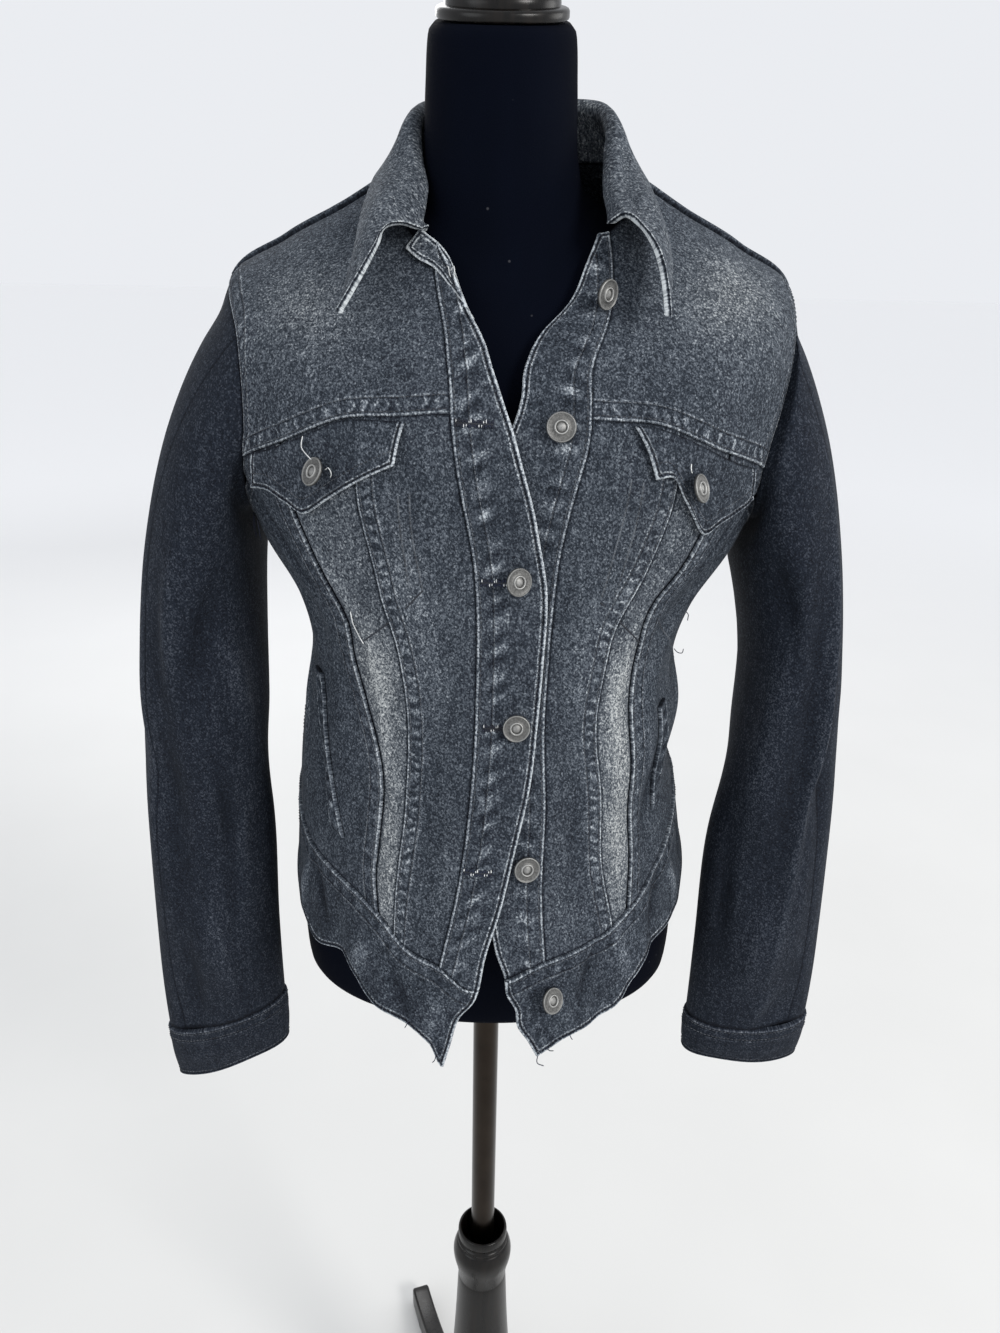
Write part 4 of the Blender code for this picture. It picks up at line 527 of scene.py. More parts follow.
def far_side(border):
    """The same line on the back, seen from the other side seam."""
    return lambda share: border(share) * np.array([-1.0, 1.0]) + np.array([2.0, 0.0])


def coons(left, right, top, bottom, rows, columns):
    """Places inside four borders, at shares of rows and columns."""
    down, over = rows[:, None, None], columns[None, :, None]
    corners = ((1 - down) * (1 - over) * end_of(top, 0.0) + (1 - down) * over * end_of(top, 1.0)
               + down * (1 - over) * end_of(bottom, 0.0) + down * over * end_of(bottom, 1.0))
    return ((1 - over) * left(rows)[:, None] + over * right(rows)[:, None]
            + (1 - down) * top(columns)[None] + down * bottom(columns)[None] - corners)


def even_shares(length, step=CLOTH_STEP):
    """Shares along a length: close together at both ends, with an even step between."""
    reach = EDGE_STEPS[-1]
    if length < 3.0 * reach:
        return np.linspace(0.0, 1.0, max(4, round(length / 0.001)) + 1)
    count = max(1, round((length - 2.0 * reach) / step))
    middle = np.linspace(reach, length - reach, count + 1)
    near = np.array(EDGE_STEPS[:-1])
    return np.concatenate((near, middle, length - near[::-1])) / length


# ---------------------------------------------------------------- sewn edges

# Heights of the outer face across an edge, by its kind: (distance, height).
EDGE_HEIGHTS = {
    "over": [(0.0, -0.0002), (0.0005, 0.0005), (0.0011, 0.0008), (0.0019, 0.0006), (0.012, 0.0006),
             (0.015, 0.0002), (0.018, 0.0)],
    "under": [(0.0, -0.0004), (0.0011, -0.0002), (0.003, 0.0)],
    "deep": [(0.0, -0.0018), (0.0011, -0.0014), (0.003, -0.0004), (0.006, 0.0)],
    "rope": [(0.0, 0.0004), (0.0005, 0.0014), (0.0019, 0.0022), (0.003, 0.0024), (0.0045, 0.0016),
             (0.0062, -0.0002), (0.008, 0.0)],
    "free": [(0.0, -0.0005), (0.0005, 0.0002), (0.0011, 0.0005), (0.0019, 0.0001), (0.0026, -0.0002),
             (0.0045, 0.0)],
    "lip": [(0.0, -0.0004), (0.0005, 0.0005), (0.0011, 0.0009), (0.0019, 0.0008), (0.003, -0.0002),
            (0.0045, 0.0003), (0.006, 0.0)],
    "roll": [(0.0, 0.0003), (0.0005, 0.0011), (0.0019, 0.0013), (0.003, 0.0002), (0.0045, 0.0004),
             (0.006, 0.0)],
    "plain": [(0.0, 0.0), (0.018, 0.0)],
}
EDGE_HEIGHTS["ladder"] = EDGE_HEIGHTS["blobs"] = EDGE_HEIGHTS["over"]
FREE_WIDTHS = {"free": 1.6, "lip": 1.5, "roll": 1.5}     # free edges: how much wider the shader's rows are
LADDER_SHARE = {"ladder": 1.0, "blobs": -1.0}            # rungs beside the seam, or no second row
INNER_REACH = 0.0011       # a free edge is thinner on its inner side this far
INNER_DROP = 0.0004
ROLL_DEPTH = 0.0011        # how far a rolled edge stands out on the inside
ROLL_REACH = 0.003
# Painted shade in the hollow beside an edge, by its kind: (reach, strength).
EDGE_PAINTED_SHADE = {
    "over": (0.0005, 0.35), "ladder": (0.0005, 0.35), "blobs": (0.0005, 0.35), "under": (0.0011, 0.6),
    "deep": (0.0015, 0.8), "rope": (0.0006, 0.5),
}
# Puckers beside an edge, by its kind: the band they fill, their wave along the seam, their height, and
# how far the wave leans.
PUCKERS = {
    "over": (0.0012, 0.0125, 0.0125, 0.00045, 0.5),
    "ladder": (0.0012, 0.0125, 0.011, 0.00035, 0.5),
    "blobs": (0.0045, 0.02, 0.0165, 0.0009, 0.12),
    "free": (0.0012, 0.0125, 0.0125, 0.00025, 0.5),
    "lip": (0.003, 0.014, 0.0125, 0.0003, 0.5),
    "roll": (0.003, 0.014, 0.0125, 0.0003, 0.5),
}
TALLEST_PUCKER = 0.0009
PUCKER_TOPS = 0.6          # how much more the shader marks a pucker's top
# The crease height at which the crease tone is full: wear on the tops, painted shade in the hollows.
CREASE_DEPTH = 0.003


def ripple(run, wave, seed):
    """An uneven wave along a seam, from -1 to 1."""
    return (0.55 * np.sin(2 * np.pi * run / wave + seed)
            + 0.3 * np.sin(2 * np.pi * run / (wave * 0.63) + 1.7 * seed)
            + 0.15 * np.sin(2 * np.pi * run / (wave * 2.3) + 2.9 * seed))


def hump(distance, start, end):
    """One inside a band, falling softly to nought at its ends."""
    middle, half = (start + end) / 2.0, (end - start) / 2.0
    return np.clip(1.0 - ((distance - middle) / half) ** 2, 0.0, 1.0)


def run_lengths(points, axis=0):
    """Lengths along a line or a grid of points, from its start."""
    steps = np.linalg.norm(np.diff(points, axis=axis), axis=-1)
    return np.concatenate((0.0 * steps.take([0], axis), np.cumsum(steps, axis=axis)), axis=axis)


def border_distances(points, closed=False):
    """Distances of a grid's points from its four borders, along the cloth."""
    whole = np.concatenate((points, points[:, :1]), axis=1) if closed else points
    near, top = run_lengths(whole, 1), run_lengths(whole, 0)
    sides = dict(near=near, far=near[:, -1:] - near, top=top, bottom=top[-1:] - top)
    return {side: distance[:, :points.shape[1]] for side, distance in sides.items()}


def edge_fields(sides, edges, seed):
    """Outer and inner heights, the shader's distances from sewn and free edges, and the painted shade in the
    hollows beside the edges.

    The third number beside a sewn distance marks a ladder stitched band; beside a free one, the puckers.
    """
    shape = sides["near"].shape
    outer, inner, hollow = np.zeros(shape), np.zeros(shape), np.zeros(shape)
    sewn, sewn_run, ladder = np.full(shape, 1.0), np.zeros(shape), np.zeros(shape)
    rim, rim_run, puckers = np.full(shape, 1.0), np.zeros(shape), np.zeros(shape)
    for index, (side, kind) in enumerate(edges.items()):
        distance, run = sides[side], sides["top" if side in ("near", "far") else "near"]
        outer += np.interp(distance, *np.array(EDGE_HEIGHTS[kind]).T)
        if kind in FREE_WIDTHS:
            inner += np.where(distance < INNER_REACH, INNER_DROP * (1.0 - distance / INNER_REACH), 0.0)
        if kind == "roll":
            inner -= ROLL_DEPTH * np.exp(-(distance / ROLL_REACH) ** 2)
        # Painted shade: a dark band in the hollow beside this edge.
        if kind in EDGE_PAINTED_SHADE:
            reach, depth = EDGE_PAINTED_SHADE[kind]
            hollow = np.maximum(hollow, depth * np.exp(-(distance / reach) ** 2))
        if kind in PUCKERS:
            start, end, wave, height, lean = PUCKERS[kind]
            waves = hump(distance, start, end) * ripple(run + distance * lean, wave, seed + index)
            outer += waves * height
            puckers += (waves + PUCKER_TOPS * np.maximum(waves, 0.0)) * height / TALLEST_PUCKER
            target, target_run = (rim, rim_run) if kind in FREE_WIDTHS else (sewn, sewn_run)
            distance = distance / FREE_WIDTHS.get(kind, 1.0)
            closer = distance < target
            target[closer] = distance[closer]
            target_run[closer] = run[closer]
            ladder[closer] = LADDER_SHARE.get(kind, 0.0)
    return (outer, inner, np.stack((sewn, sewn_run, ladder), -1), np.stack((rim, rim_run, puckers), -1),
            hollow)


# ---------------------------------------------------------------- meshes


def add_object(name, mesh, material, smooth_angle):
    mesh.materials.append(material)
    mesh.shade_smooth()
    mesh.set_sharp_from_angle(angle=math.radians(smooth_angle))
    item = bpy.data.objects.new(name, mesh)
    bpy.context.scene.collection.objects.link(item)
    return item


def mesh_object(name, vertices, faces, material, smooth_angle=40.0):
    mesh = bpy.data.meshes.new(name)
    mesh.from_pydata([tuple(vertex) for vertex in vertices], [], faces)
    return add_object(name, mesh, material, smooth_angle)


def on_axis(points):
    return points + np.array([0.0, AXIS_Y, 0.0])


def set_attribute(item, name, values):
    attribute = item.data.attributes.new(name, "FLOAT_VECTOR", "POINT")
    attribute.data.foreach_set("vector", np.ascontiguousarray(values, dtype=np.float32).ravel())


def grid_faces(rows, columns, start, closed, flip):
    index = np.arange(rows * columns).reshape(rows, columns) + start
    after = np.roll(index, -1, axis=1) if closed else index[:, 1:]
    before = index if closed else index[:, :-1]
    quads = np.stack((before[:-1], after[:-1], after[1:], before[1:]), -1).reshape(-1, 4)
    return quads[:, ::-1] if flip else quads


def rim_faces(outer_loop, inner_loop, closed, flip):
    after_outer, after_inner = np.roll(outer_loop, -1), np.roll(inner_loop, -1)
    quads = np.stack((outer_loop, inner_loop, after_inner, after_outer), -1)
    quads = quads if closed else quads[:-1]
    return quads[:, ::-1] if flip else quads


def shell_faces(rows, columns, closed, flip):
    """Faces of a closed wall between two grids of the same size."""
    count = rows * columns
    outer = np.arange(count).reshape(rows, columns)
    inner = outer + count
    faces = [grid_faces(rows, columns, 0, closed, flip), grid_faces(rows, columns, count, closed, not flip),
             rim_faces(outer[0], inner[0], closed, flip), rim_faces(outer[-1], inner[-1], closed, not flip)]
    if not closed:
        faces += [rim_faces(outer[:, 0], inner[:, 0], False, not flip),
                  rim_faces(outer[:, -1], inner[:, -1], False, flip)]
    return np.concatenate(faces).tolist()


Cloth = namedtuple("Cloth", "item outer normals sides")
CLOTHS = {}
LEAST_WALL = 0.0005
LEAST_AREA_SHARE = 0.301   # a flat area is at least this share of width times length


def cloth_shell(name, base, normals, edges, thickness, material, lift=0.0, fade=0.0, relief=0.0,
                closed=False, flip=False, seed=0.0):
    """A thin closed shell on a grid of points, with its edges raised and its places marked.

    relief is the height of the finer creases, which the shader wears pale on top and darkens below as
    painted shade.
    """
    sides = border_distances(base, closed)
    outer_height, inner_height, sewn, rim, hollow = edge_fields(sides, edges, seed)
    outer_height, inner_height = outer_height + lift, inner_height + lift
    outer = base + normals * outer_height[..., None]
    inner = base + normals * (np.minimum(inner_height - thickness, outer_height - LEAST_WALL))[..., None]
    rows, columns = base.shape[:2]
    vertices = on_axis(np.concatenate((outer.reshape(-1, 3), inner.reshape(-1, 3))))
    item = mesh_object(name, vertices, shell_faces(rows, columns, closed, flip), material)
    plain = np.zeros((rows, columns))
    # tone: the worn fade, painted shade beside the edges, and the crease height (worn pale on top, painted
    # shade below).
    tone = np.stack((plain + fade, hollow, plain + np.clip(relief / CREASE_DEPTH, -1.0, 1.0)), -1)
    cloth = base + np.array([seed, 0.0, 0.31 * seed])
    for label, outside, inside in (("sewn", sewn, sewn), ("rim", rim, rim + np.array([thickness, 0.0, 0.0])),
                                   ("cloth", cloth, cloth), ("tone", tone, tone)):
        set_attribute(item, label, np.concatenate((outside.reshape(-1, 3), inside.reshape(-1, 3))))
    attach(item, GARMENT)
    width, length = float(sides["near"][:, -1].max()), float(sides["top"][-1].max())
    if closed:
        width += float(np.linalg.norm(base[:, 0] - base[:, -1], axis=-1).max())
    area = max(float(quad_areas(base, closed).sum()), LEAST_AREA_SHARE * width * length)
    return Cloth(item, outer, normals, sides)


def make_cloth(node, base, normals, edges, thickness, material, **settings):
    """The shell that stands for a solid."""
    CLOTHS[node] = cloth_shell(node + "_cloth", base, normals, edges, thickness, material,
                               seed=0.7 * len(CLOTHS), **settings)
    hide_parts(node)


def quad_areas(points, closed):
    if closed:
        points = np.concatenate((points, points[:, :1]), axis=1)
    across = points[:-1, 1:] - points[1:, :-1]
    along = points[1:, 1:] - points[:-1, :-1]
    return np.linalg.norm(np.cross(across, along), axis=-1) / 2.0


def piece_fade(node, turn, level):
    gain, offset = next((fades for name, fades in PIECE_FADES.items() if node.startswith(name)), (1.0, 0.0))
    return fold_height(FADES, turn, level) * gain + offset


def border_length(border, folds):
    places = border(np.linspace(0.0, 1.0, 40))
    return float(np.linalg.norm(np.diff(torso(places[:, 0], places[:, 1], folds), axis=0), axis=-1).sum())


def edge_kinds(words):
    """Kinds of edge for the near, far, top and bottom borders."""
    return dict(zip(("near", "far", "top", "bottom"), words.split()))


def torso_cloth(node, left, right, top, bottom, kinds, lift=0.0, thickness=DENIM, folds=FOLDS + CREASES,
                step=CLOTH_STEP):
    """A piece inside four borders on the torso. lift moves it out; it is a height or a function of
    (rows, columns).

    Its rows run down, so which way round its faces go depends on where its columns run to.
    """
    down = max(border_length(left, folds), border_length(right, folds))
    over = max(border_length(top, folds), border_length(bottom, folds))
    rows, columns = even_shares(down, step), even_shares(over, step)
    places = coons(left, right, top, bottom, rows, columns)
    turn, level = places[..., 0], places[..., 1]
    surface = torso_with(folds)
    height = lift(rows[:, None], columns[None, :]) if callable(lift) else lift
    make_cloth(node, surface(turn, level), surface_normals(surface, turn, level), edge_kinds(kinds),
               thickness, BODY_CLOTH, lift=height, fade=piece_fade(node, turn, level),
               relief=fold_height(CREASES + BAND_CREASES, turn, level),
               flip=bool(turn[-1, -1] > turn[-1, 0]))


# ---------------------------------------------------------------- shader groups

NODE_STEP = 190
NODES_IN_ROW = 12
FULL_TURN = 2.0 * math.pi


class Value:
    """A shader value; working with it adds nodes to its graph."""

    def __init__(self, graph, socket):
        self.graph, self.socket = graph, socket

    def __add__(self, other):
        return self.graph.math("ADD", self, other)

    def __sub__(self, other):
        return self.graph.math("SUBTRACT", self, other)

    def __mul__(self, other):
        return self.graph.math("MULTIPLY", self, other)

    def __truediv__(self, other):
        return self.graph.math("DIVIDE", self, other)

    def __rtruediv__(self, other):
        return self.graph.math("DIVIDE", other, self)

    def __abs__(self):
        return self.graph.math("ABSOLUTE", self)

    def line(self, slope, start, clamp=False):
        """This value times a slope, plus a start."""
        return self.graph.math("MULTIPLY_ADD", self, slope, start, clamp=clamp)


class Graph:
    """Short hand for placing and joining shader nodes."""

    def __init__(self, tree):
        self.tree = tree
        self.count = 0

    def add(self, kind, **settings):
        node = self.tree.nodes.new(kind)
        node.location = (NODE_STEP * (self.count % NODES_IN_ROW), -NODE_STEP * (self.count // NODES_IN_ROW))
        self.count += 1
        for name, value in settings.items():
            setattr(node, name, value)
        return node

    def feed(self, socket, value):
        if isinstance(value, Value):
            self.tree.links.new(value.socket, socket)
        else:
            socket.default_value = (*value, 1.0) if socket.type == "RGBA" else value

    def outputs(self, node, inputs=()):
        """A node's outputs by name, once its inputs are fed by name or number."""
        for name, value in dict(inputs).items():
            self.feed(node.inputs[name], value)
        return {socket.name: Value(self, socket) for socket in node.outputs}

    def output(self, kind, inputs, number=0, **settings):
        node = self.add(kind, **settings)
        self.outputs(node, inputs)
        return Value(self, node.outputs[number])

    def math(self, operation, *values, clamp=False):
        return self.output("ShaderNodeMath", enumerate(values), operation=operation, use_clamp=clamp)

    def within(self, value, low, high, start=0.0, end=1.0):
        """A value's place between low and high, kept between start and end."""
        names = ("Value", "From Min", "From Max", "To Min", "To Max")
        return self.output("ShaderNodeMapRange", zip(names, (value, low, high, start, end)),
                           interpolation_type="SMOOTHSTEP")

    def vector(self, *parts):
        return self.output("ShaderNodeCombineXYZ", enumerate(parts))

    def scaled(self, vector, scale):
        return self.output("ShaderNodeVectorMath", enumerate((vector, scale)), operation="MULTIPLY")

    def split(self, vector):
        return list(self.outputs(self.add("ShaderNodeSeparateXYZ"), {0: vector}).values())

    def noise(self, vector, scale, detail=2.0, roughness=0.5):
        return self.output("ShaderNodeTexNoise", {"Vector": vector, "Scale": scale, "Detail": detail,
                                                  "Roughness": roughness})

    def frayed(self, run, distance, along, across, start, roughness):
        """An uneven value along a seam, with so many turns for each metre."""
        return self.noise(self.vector(run * along, distance * across, start), 1.0, 2.0, roughness)

    def cells(self, place, scale):
        return self.outputs(self.add("ShaderNodeTexVoronoi", feature="F1"),
                            {"Vector": place, "Scale": scale})

    def blend(self, share, first, second, blend_type="MIX"):
        return self.output("ShaderNodeMix", {0: share, 6: first, 7: second}, 2, data_type="RGBA",
                           blend_type=blend_type)

    def attribute(self, name):
        node = self.add("ShaderNodeAttribute", attribute_type="GEOMETRY", attribute_name=name)
        return Value(self, node.outputs["Vector"])

    def object_place(self):
        return Value(self, self.add("ShaderNodeTexCoord").outputs["Object"])

    def group(self, tree, **inputs):
        return self.outputs(self.add("ShaderNodeGroup", node_tree=tree), inputs)


def new_group(name, vector, numbers, outputs):
    """A shader group with one vector input, number inputs with their defaults, and number outputs."""
    tree = bpy.data.node_groups.new(name, "ShaderNodeTree")
    tree.interface.new_socket(vector, in_out="INPUT", socket_type="NodeSocketVector")
    for label, default in numbers.items():
        socket = tree.interface.new_socket(label, in_out="INPUT", socket_type="NodeSocketFloat")
        socket.default_value = default
    for label in outputs:
        tree.interface.new_socket(label, in_out="OUTPUT", socket_type="NodeSocketFloat")
    graph = Graph(tree)
    return tree, graph, graph.outputs(graph.add("NodeGroupInput")), graph.add("NodeGroupOutput")


def build_twill_group():
    """Yarn speckle, vertical slubs and twill lines of denim, from places on the cloth in metres."""
    tree, graph, entry, leave = new_group("denim_twill", "Place", {"Yarn": 0.0008, "Slub": 0.0034},
                                          ("Speckle", "Slubs", "Twill"))
    x, y, z = graph.split(entry["Place"])
    yarns = 1.0 / entry["Yarn"]
    slanted = graph.vector(z.line(0.35, x), y, x.line(-0.3, z * 0.75))
    grains = graph.split(graph.cells(slanted, yarns)["Color"])[0]
    fine = graph.within(graph.noise(slanted, yarns * 0.62, 2.0, 0.65), 0.3, 0.7)
    slubs = graph.noise(graph.scaled(entry["Place"], (1.0, 1.0, 0.12)), 1.0 / entry["Slub"], 3.0, 0.6)
    wave = graph.math("SINE", z.line(0.6, x) * yarns * FULL_TURN)
    graph.outputs(leave, {"Speckle": grains.line(0.56, fine * 0.44), "Slubs": graph.within(slubs, 0.3, 0.7),
                          "Twill": wave.line(0.5, 0.5)})
    return tree


def build_seam_wear_group():
    """Paleness along a sewn seam: the folded edge, the second row and the rungs of a ladder band."""
    tree, graph, entry, leave = new_group("seam_wear", "Seam", {"Row Distance": 0.0105, "Rung": 0.0072},
                                          ("Pale", "Dark", "Pucker"))
    distance, run, kind = graph.split(entry["Seam"])
    ladder = graph.math("MAXIMUM", kind, 0.0)
    rows = graph.math("MINIMUM", kind + 1.0, 1.0)
    frayed = graph.frayed(run, distance, 700.0, 500.0, 0.0, 0.7)
    edge = graph.within(distance, 0.0019, 0.0012) * graph.within(frayed, 0.25, 0.6, 0.5, 1.0)
    beyond = distance - entry["Row Distance"]
    row = graph.within(abs(beyond - 0.0007), 0.001, 0.0003)
    row = row * graph.within(frayed, 0.35, 0.65, 0.15, 0.8) * rows
    groove = graph.within(abs(beyond + 0.0006), 0.0008, 0.0003, 0.0, 0.7) * rows
    band = graph.within(distance, 0.002, 0.0034) * graph.within(beyond, -0.0008, -0.0022)
    uneven = graph.frayed(run, distance, 70.0, 90.0, 3.0, 0.6)
    beat = graph.math("SINE", uneven.line(2.4, run / entry["Rung"]) * FULL_TURN)
    pucker = beat * band * ladder + (uneven - 0.5) * (band * 1.6)
    pale = graph.math("MAXIMUM", edge, row * 0.75)
    graph.outputs(leave, {"Pale": graph.math("MAXIMUM", pale, pucker * 0.46),
                          "Dark": graph.math("MAXIMUM", groove, pucker * -0.55), "Pucker": pucker})
    return tree


def build_rim_wear_group():
    """Paleness along a free folded edge: a bright rim, a stitched hollow and a second pale line."""
    tree, graph, entry, leave = new_group("rim_wear", "Rim", {"Width": 0.0016}, ("Pale", "Dark"))
    distance, run, _puckers = graph.split(entry["Rim"])
    width = entry["Width"]
    frayed = graph.frayed(run, distance, 650.0, 300.0, 7.0, 0.7)
    distance = distance + frayed.line(0.0008, -0.0004)
    edge = graph.within(distance, width * 0.8, width * 0.35) * graph.within(frayed, 0.25, 0.6, 0.55, 1.0)
    second = graph.within(abs(distance - width * 1.45), 0.0006, 0.0001)
    second = second * graph.within(frayed, 0.35, 0.6, 0.3, 0.8)
    beads = graph.within(graph.math("SINE", run * (FULL_TURN / 0.0026)), -0.8, 0.6, 0.35, 1.0)
    hollow = graph.within(abs(distance - width * 0.98), 0.0006, 0.0001)
    graph.outputs(leave, {"Pale": graph.math("MAXIMUM", edge, second), "Dark": hollow * beads})
    return tree


def build_dust_group():
    """Sparse specks of lint and dust, from places in metres."""
    tree, graph, entry, leave = new_group("lint", "Place", {"Specks": 160.0, "Amount": 0.5}, ("Speck",))
    cells = graph.cells(entry["Place"], entry["Specks"])
    chosen = graph.math("GREATER_THAN", entry["Amount"], graph.split(cells["Color"])[0])
    graph.outputs(leave, {"Speck": graph.within(cells["Distance"], 0.16, 0.05) * chosen})
    return tree


TWILL = build_twill_group()
SEAM_WEAR = build_seam_wear_group()
RIM_WEAR = build_rim_wear_group()
LINT = build_dust_group()

# ---------------------------------------------------------------- materials


def new_material(name):
    material = bpy.data.materials.new(name)
    material.use_nodes = True
    return material, Graph(material.node_tree)


def finished(material, graph, color, roughness, height, strength, distance, specular=0.5, metallic=0.0):
    """The material with its colour, its shine and a bump from height fed to its shader."""
    bump = graph.output("ShaderNodeBump", {"Strength": strength, "Distance": distance, "Height": height})
    graph.outputs(material.node_tree.nodes["Principled BSDF"], {
        "Base Color": color, "Roughness": roughness, "Specular IOR Level": specular, "Metallic": metallic,
        "Normal": bump})
    return material


Dye = namedtuple("Dye", "deep mid pale worn")
BODY_DYE = Dye((0.0024, 0.0036, 0.007), (0.023, 0.0295, 0.04), (0.1, 0.116, 0.138), (0.5, 0.54, 0.57))
SLEEVE_DYE = Dye((0.0018, 0.0027, 0.0056), (0.0088, 0.0128, 0.021), (0.05, 0.058, 0.074), (0.3, 0.32, 0.35))
DYE_STOPS = (0.36, 0.62)   # where the mid and pale tones stand between deep and worn
# How far each mark on the cloth moves the wear, from fresh dye (0) to worn white (1).
# The crease entry pales the tops of creases as wear and darkens their hollows as painted shade.
Wear = namedtuple("Wear", "base speckle slubs mottle cloud fade crease pucker seam_pale rim_pale")
BODY_WEAR = Wear(base=0.375, speckle=0.64, slubs=0.09, mottle=0.16, cloud=0.22, fade=0.2, crease=0.22,
                 pucker=0.24, seam_pale=0.38, rim_pale=0.54)
SLEEVE_WEAR = Wear(base=0.315, speckle=0.56, slubs=0.09, mottle=0.14, cloud=0.14, fade=0.2, crease=0.08,
                   pucker=0.06, seam_pale=0.3, rim_pale=0.2)
# The last of these darkens the hollows beside the edges as painted shade.
SEAM_DARK, RIM_DARK, PAINTED_HOLLOW_SHADE = -0.16, -0.4, -0.6


def make_denim(name, dye, wears):
    """Washed denim: dark dye where it is fresh, grey where it is worn, nearly white on the edges, with
    painted shade in the hollows beside edges and in crease hollows.
    """
    material, graph = new_material(name)
    place, rim_place = graph.attribute("cloth"), graph.attribute("rim")
    twill = graph.group(TWILL, Place=place)
    seam = graph.group(SEAM_WEAR, Seam=graph.attribute("sewn"))
    rim = graph.group(RIM_WEAR, Rim=rim_place)
    # fade is wear; hollow is painted shade beside the edges; the crease tone is wear on top and painted
    # shade below.
    fade, hollow, crease = graph.split(graph.attribute("tone"))
    cloud = graph.noise(graph.scaled(place, (1.0, 1.0, 0.6)), 26.0, 4.0, 0.6)
    mottle = graph.noise(place, 150.0, 3.0, 0.6)
    marks = ((twill["Speckle"] - 0.5, wears.speckle), (twill["Slubs"] - 0.5, wears.slubs),
             (cloud - 0.5, wears.cloud), (fade, wears.fade), (mottle - 0.5, wears.mottle),
             (crease, wears.crease), (graph.split(rim_place)[2], wears.pucker),
             (seam["Pale"], wears.seam_pale), (rim["Pale"], wears.rim_pale),
             (seam["Dark"], SEAM_DARK), (rim["Dark"], RIM_DARK))
    wear = wears.base
    for mark, amount in marks:
        wear = mark.line(amount, wear)
    ramp = graph.add("ShaderNodeValToRGB")
    ramp.color_ramp.elements[0].color = (*dye.deep, 1.0)
    ramp.color_ramp.elements[1].color = (*dye.worn, 1.0)
    for position, color in zip(DYE_STOPS, (dye.mid, dye.pale)):
        ramp.color_ramp.elements.new(position).color = (*color, 1.0)
    # Painted shade: the hollow channel darkens the wear in the hollows beside the edges.
    dyed = graph.outputs(ramp, {0: hollow.line(PAINTED_HOLLOW_SHADE, wear, clamp=True)})["Color"]
    warm = graph.blend(graph.math("MULTIPLY", fade, 0.8, clamp=True), (1.0, 1.0, 1.0), (1.05, 1.01, 0.95))
    height = seam["Pucker"].line(0.6, twill["Twill"].line(0.12, twill["Speckle"] * 0.55))
    return finished(material, graph, graph.blend(1.0, dyed, warm, "MULTIPLY"), 0.9, height, 0.5, 0.0006,
                    specular=0.18)


def make_velvet():
    material, graph = new_material("black_velvet_pile")
    place = graph.object_place()
    pile = graph.noise(place, 1400.0, 2.0, 0.6)
    brushed = graph.noise(graph.scaled(place, (1.0, 1.0, 0.35)), 18.0, 3.0, 0.55)
    speck = graph.group(LINT, Place=place, Specks=150.0, Amount=0.05)["Speck"]
    base = graph.blend(brushed, (0.0006, 0.0011, 0.003), (0.0018, 0.003, 0.0078))
    base = graph.blend(speck * 0.35, base, (0.1, 0.1, 0.11))
    return finished(material, graph, base, pile.line(0.12, 0.86), pile, 0.35, 0.0005, specular=0.04)


def make_lacquer():
    material, graph = new_material("black_lacquered_wood_grain")
    place = graph.object_place()
    grain = graph.noise(graph.scaled(place, (1.0, 1.0, 0.08)), 160.0, 4.0, 0.65)
    speck = graph.group(LINT, Place=place, Specks=220.0, Amount=0.1)["Speck"]
    base = graph.blend(graph.within(grain, 0.42, 0.7), (0.002, 0.0017, 0.0015), (0.007, 0.0052, 0.0042))
    base = graph.blend(speck * 0.25, base, (0.09, 0.085, 0.08))
    return finished(material, graph, base, grain.line(0.22, 0.18), grain, 0.12, 0.0004, specular=0.25)


def make_pole_metal():
    material, graph = new_material("bronze_pole_lacquer")
    place = graph.object_place()
    drawn = graph.noise(graph.scaled(place, (1.0, 1.0, 0.02)), 420.0, 2.0, 0.5)
    base = graph.blend(graph.noise(place, 30.0, 3.0, 0.6), (0.014, 0.011, 0.009), (0.042, 0.033, 0.026))
    return finished(material, graph, base, drawn.line(0.16, 0.16), drawn, 0.08, 0.0002, metallic=1.0)


def make_button_metal():
    material, graph = new_material("aged_button_silver")
    tarnish = graph.noise(graph.object_place(), 900.0, 4.0, 0.65)
    worn = tarnish.line(0.6, graph.split(graph.attribute("turned"))[1] * 0.75)
    base = graph.blend(graph.within(worn, 0.15, 1.2), (0.035, 0.035, 0.034), (0.4, 0.4, 0.39))
    return finished(material, graph, base, tarnish.line(0.25, 0.4), tarnish, 0.25, 0.0002, metallic=0.8)


def make_thread(name, dark, pale, wear):
    material, graph = new_material(name)
    place = graph.object_place()
    twist = graph.noise(place, 1500.0, 2.0, 0.6)
    share = graph.within(twist * 0.5 + graph.noise(place, 60.0, 3.0, 0.6), wear, wear + 0.35)
    color = graph.blend(share, dark, pale)
    return finished(material, graph, color, twist.line(0.2, 0.65), twist, 0.3, 0.0002)


BODY_CLOTH = make_denim("washed_black_denim_cloth", BODY_DYE, BODY_WEAR)
SLEEVE_CLOTH = make_denim("dark_sleeve_denim_cloth", SLEEVE_DYE, SLEEVE_WEAR)
VELVET = make_velvet()
LACQUER = make_lacquer()
POLE_METAL = make_pole_metal()
BUTTON_METAL = make_button_metal()
SEAM_THREAD = make_thread("charcoal_topstitch_thread", (0.012, 0.014, 0.02), (0.115, 0.128, 0.145), 0.62)
NAVY_THREAD = make_thread("navy_buttonhole_thread", (0.006, 0.01, 0.028), (0.1, 0.13, 0.22), 0.85)
PALE_THREAD = make_thread("pale_loose_thread", (0.34, 0.35, 0.35), (0.72, 0.74, 0.74), 0.55)
HOLE_THREAD = make_thread("dark_buttonhole_thread", (0.001, 0.0028, 0.01), (0.004, 0.0095, 0.032), 0.6)
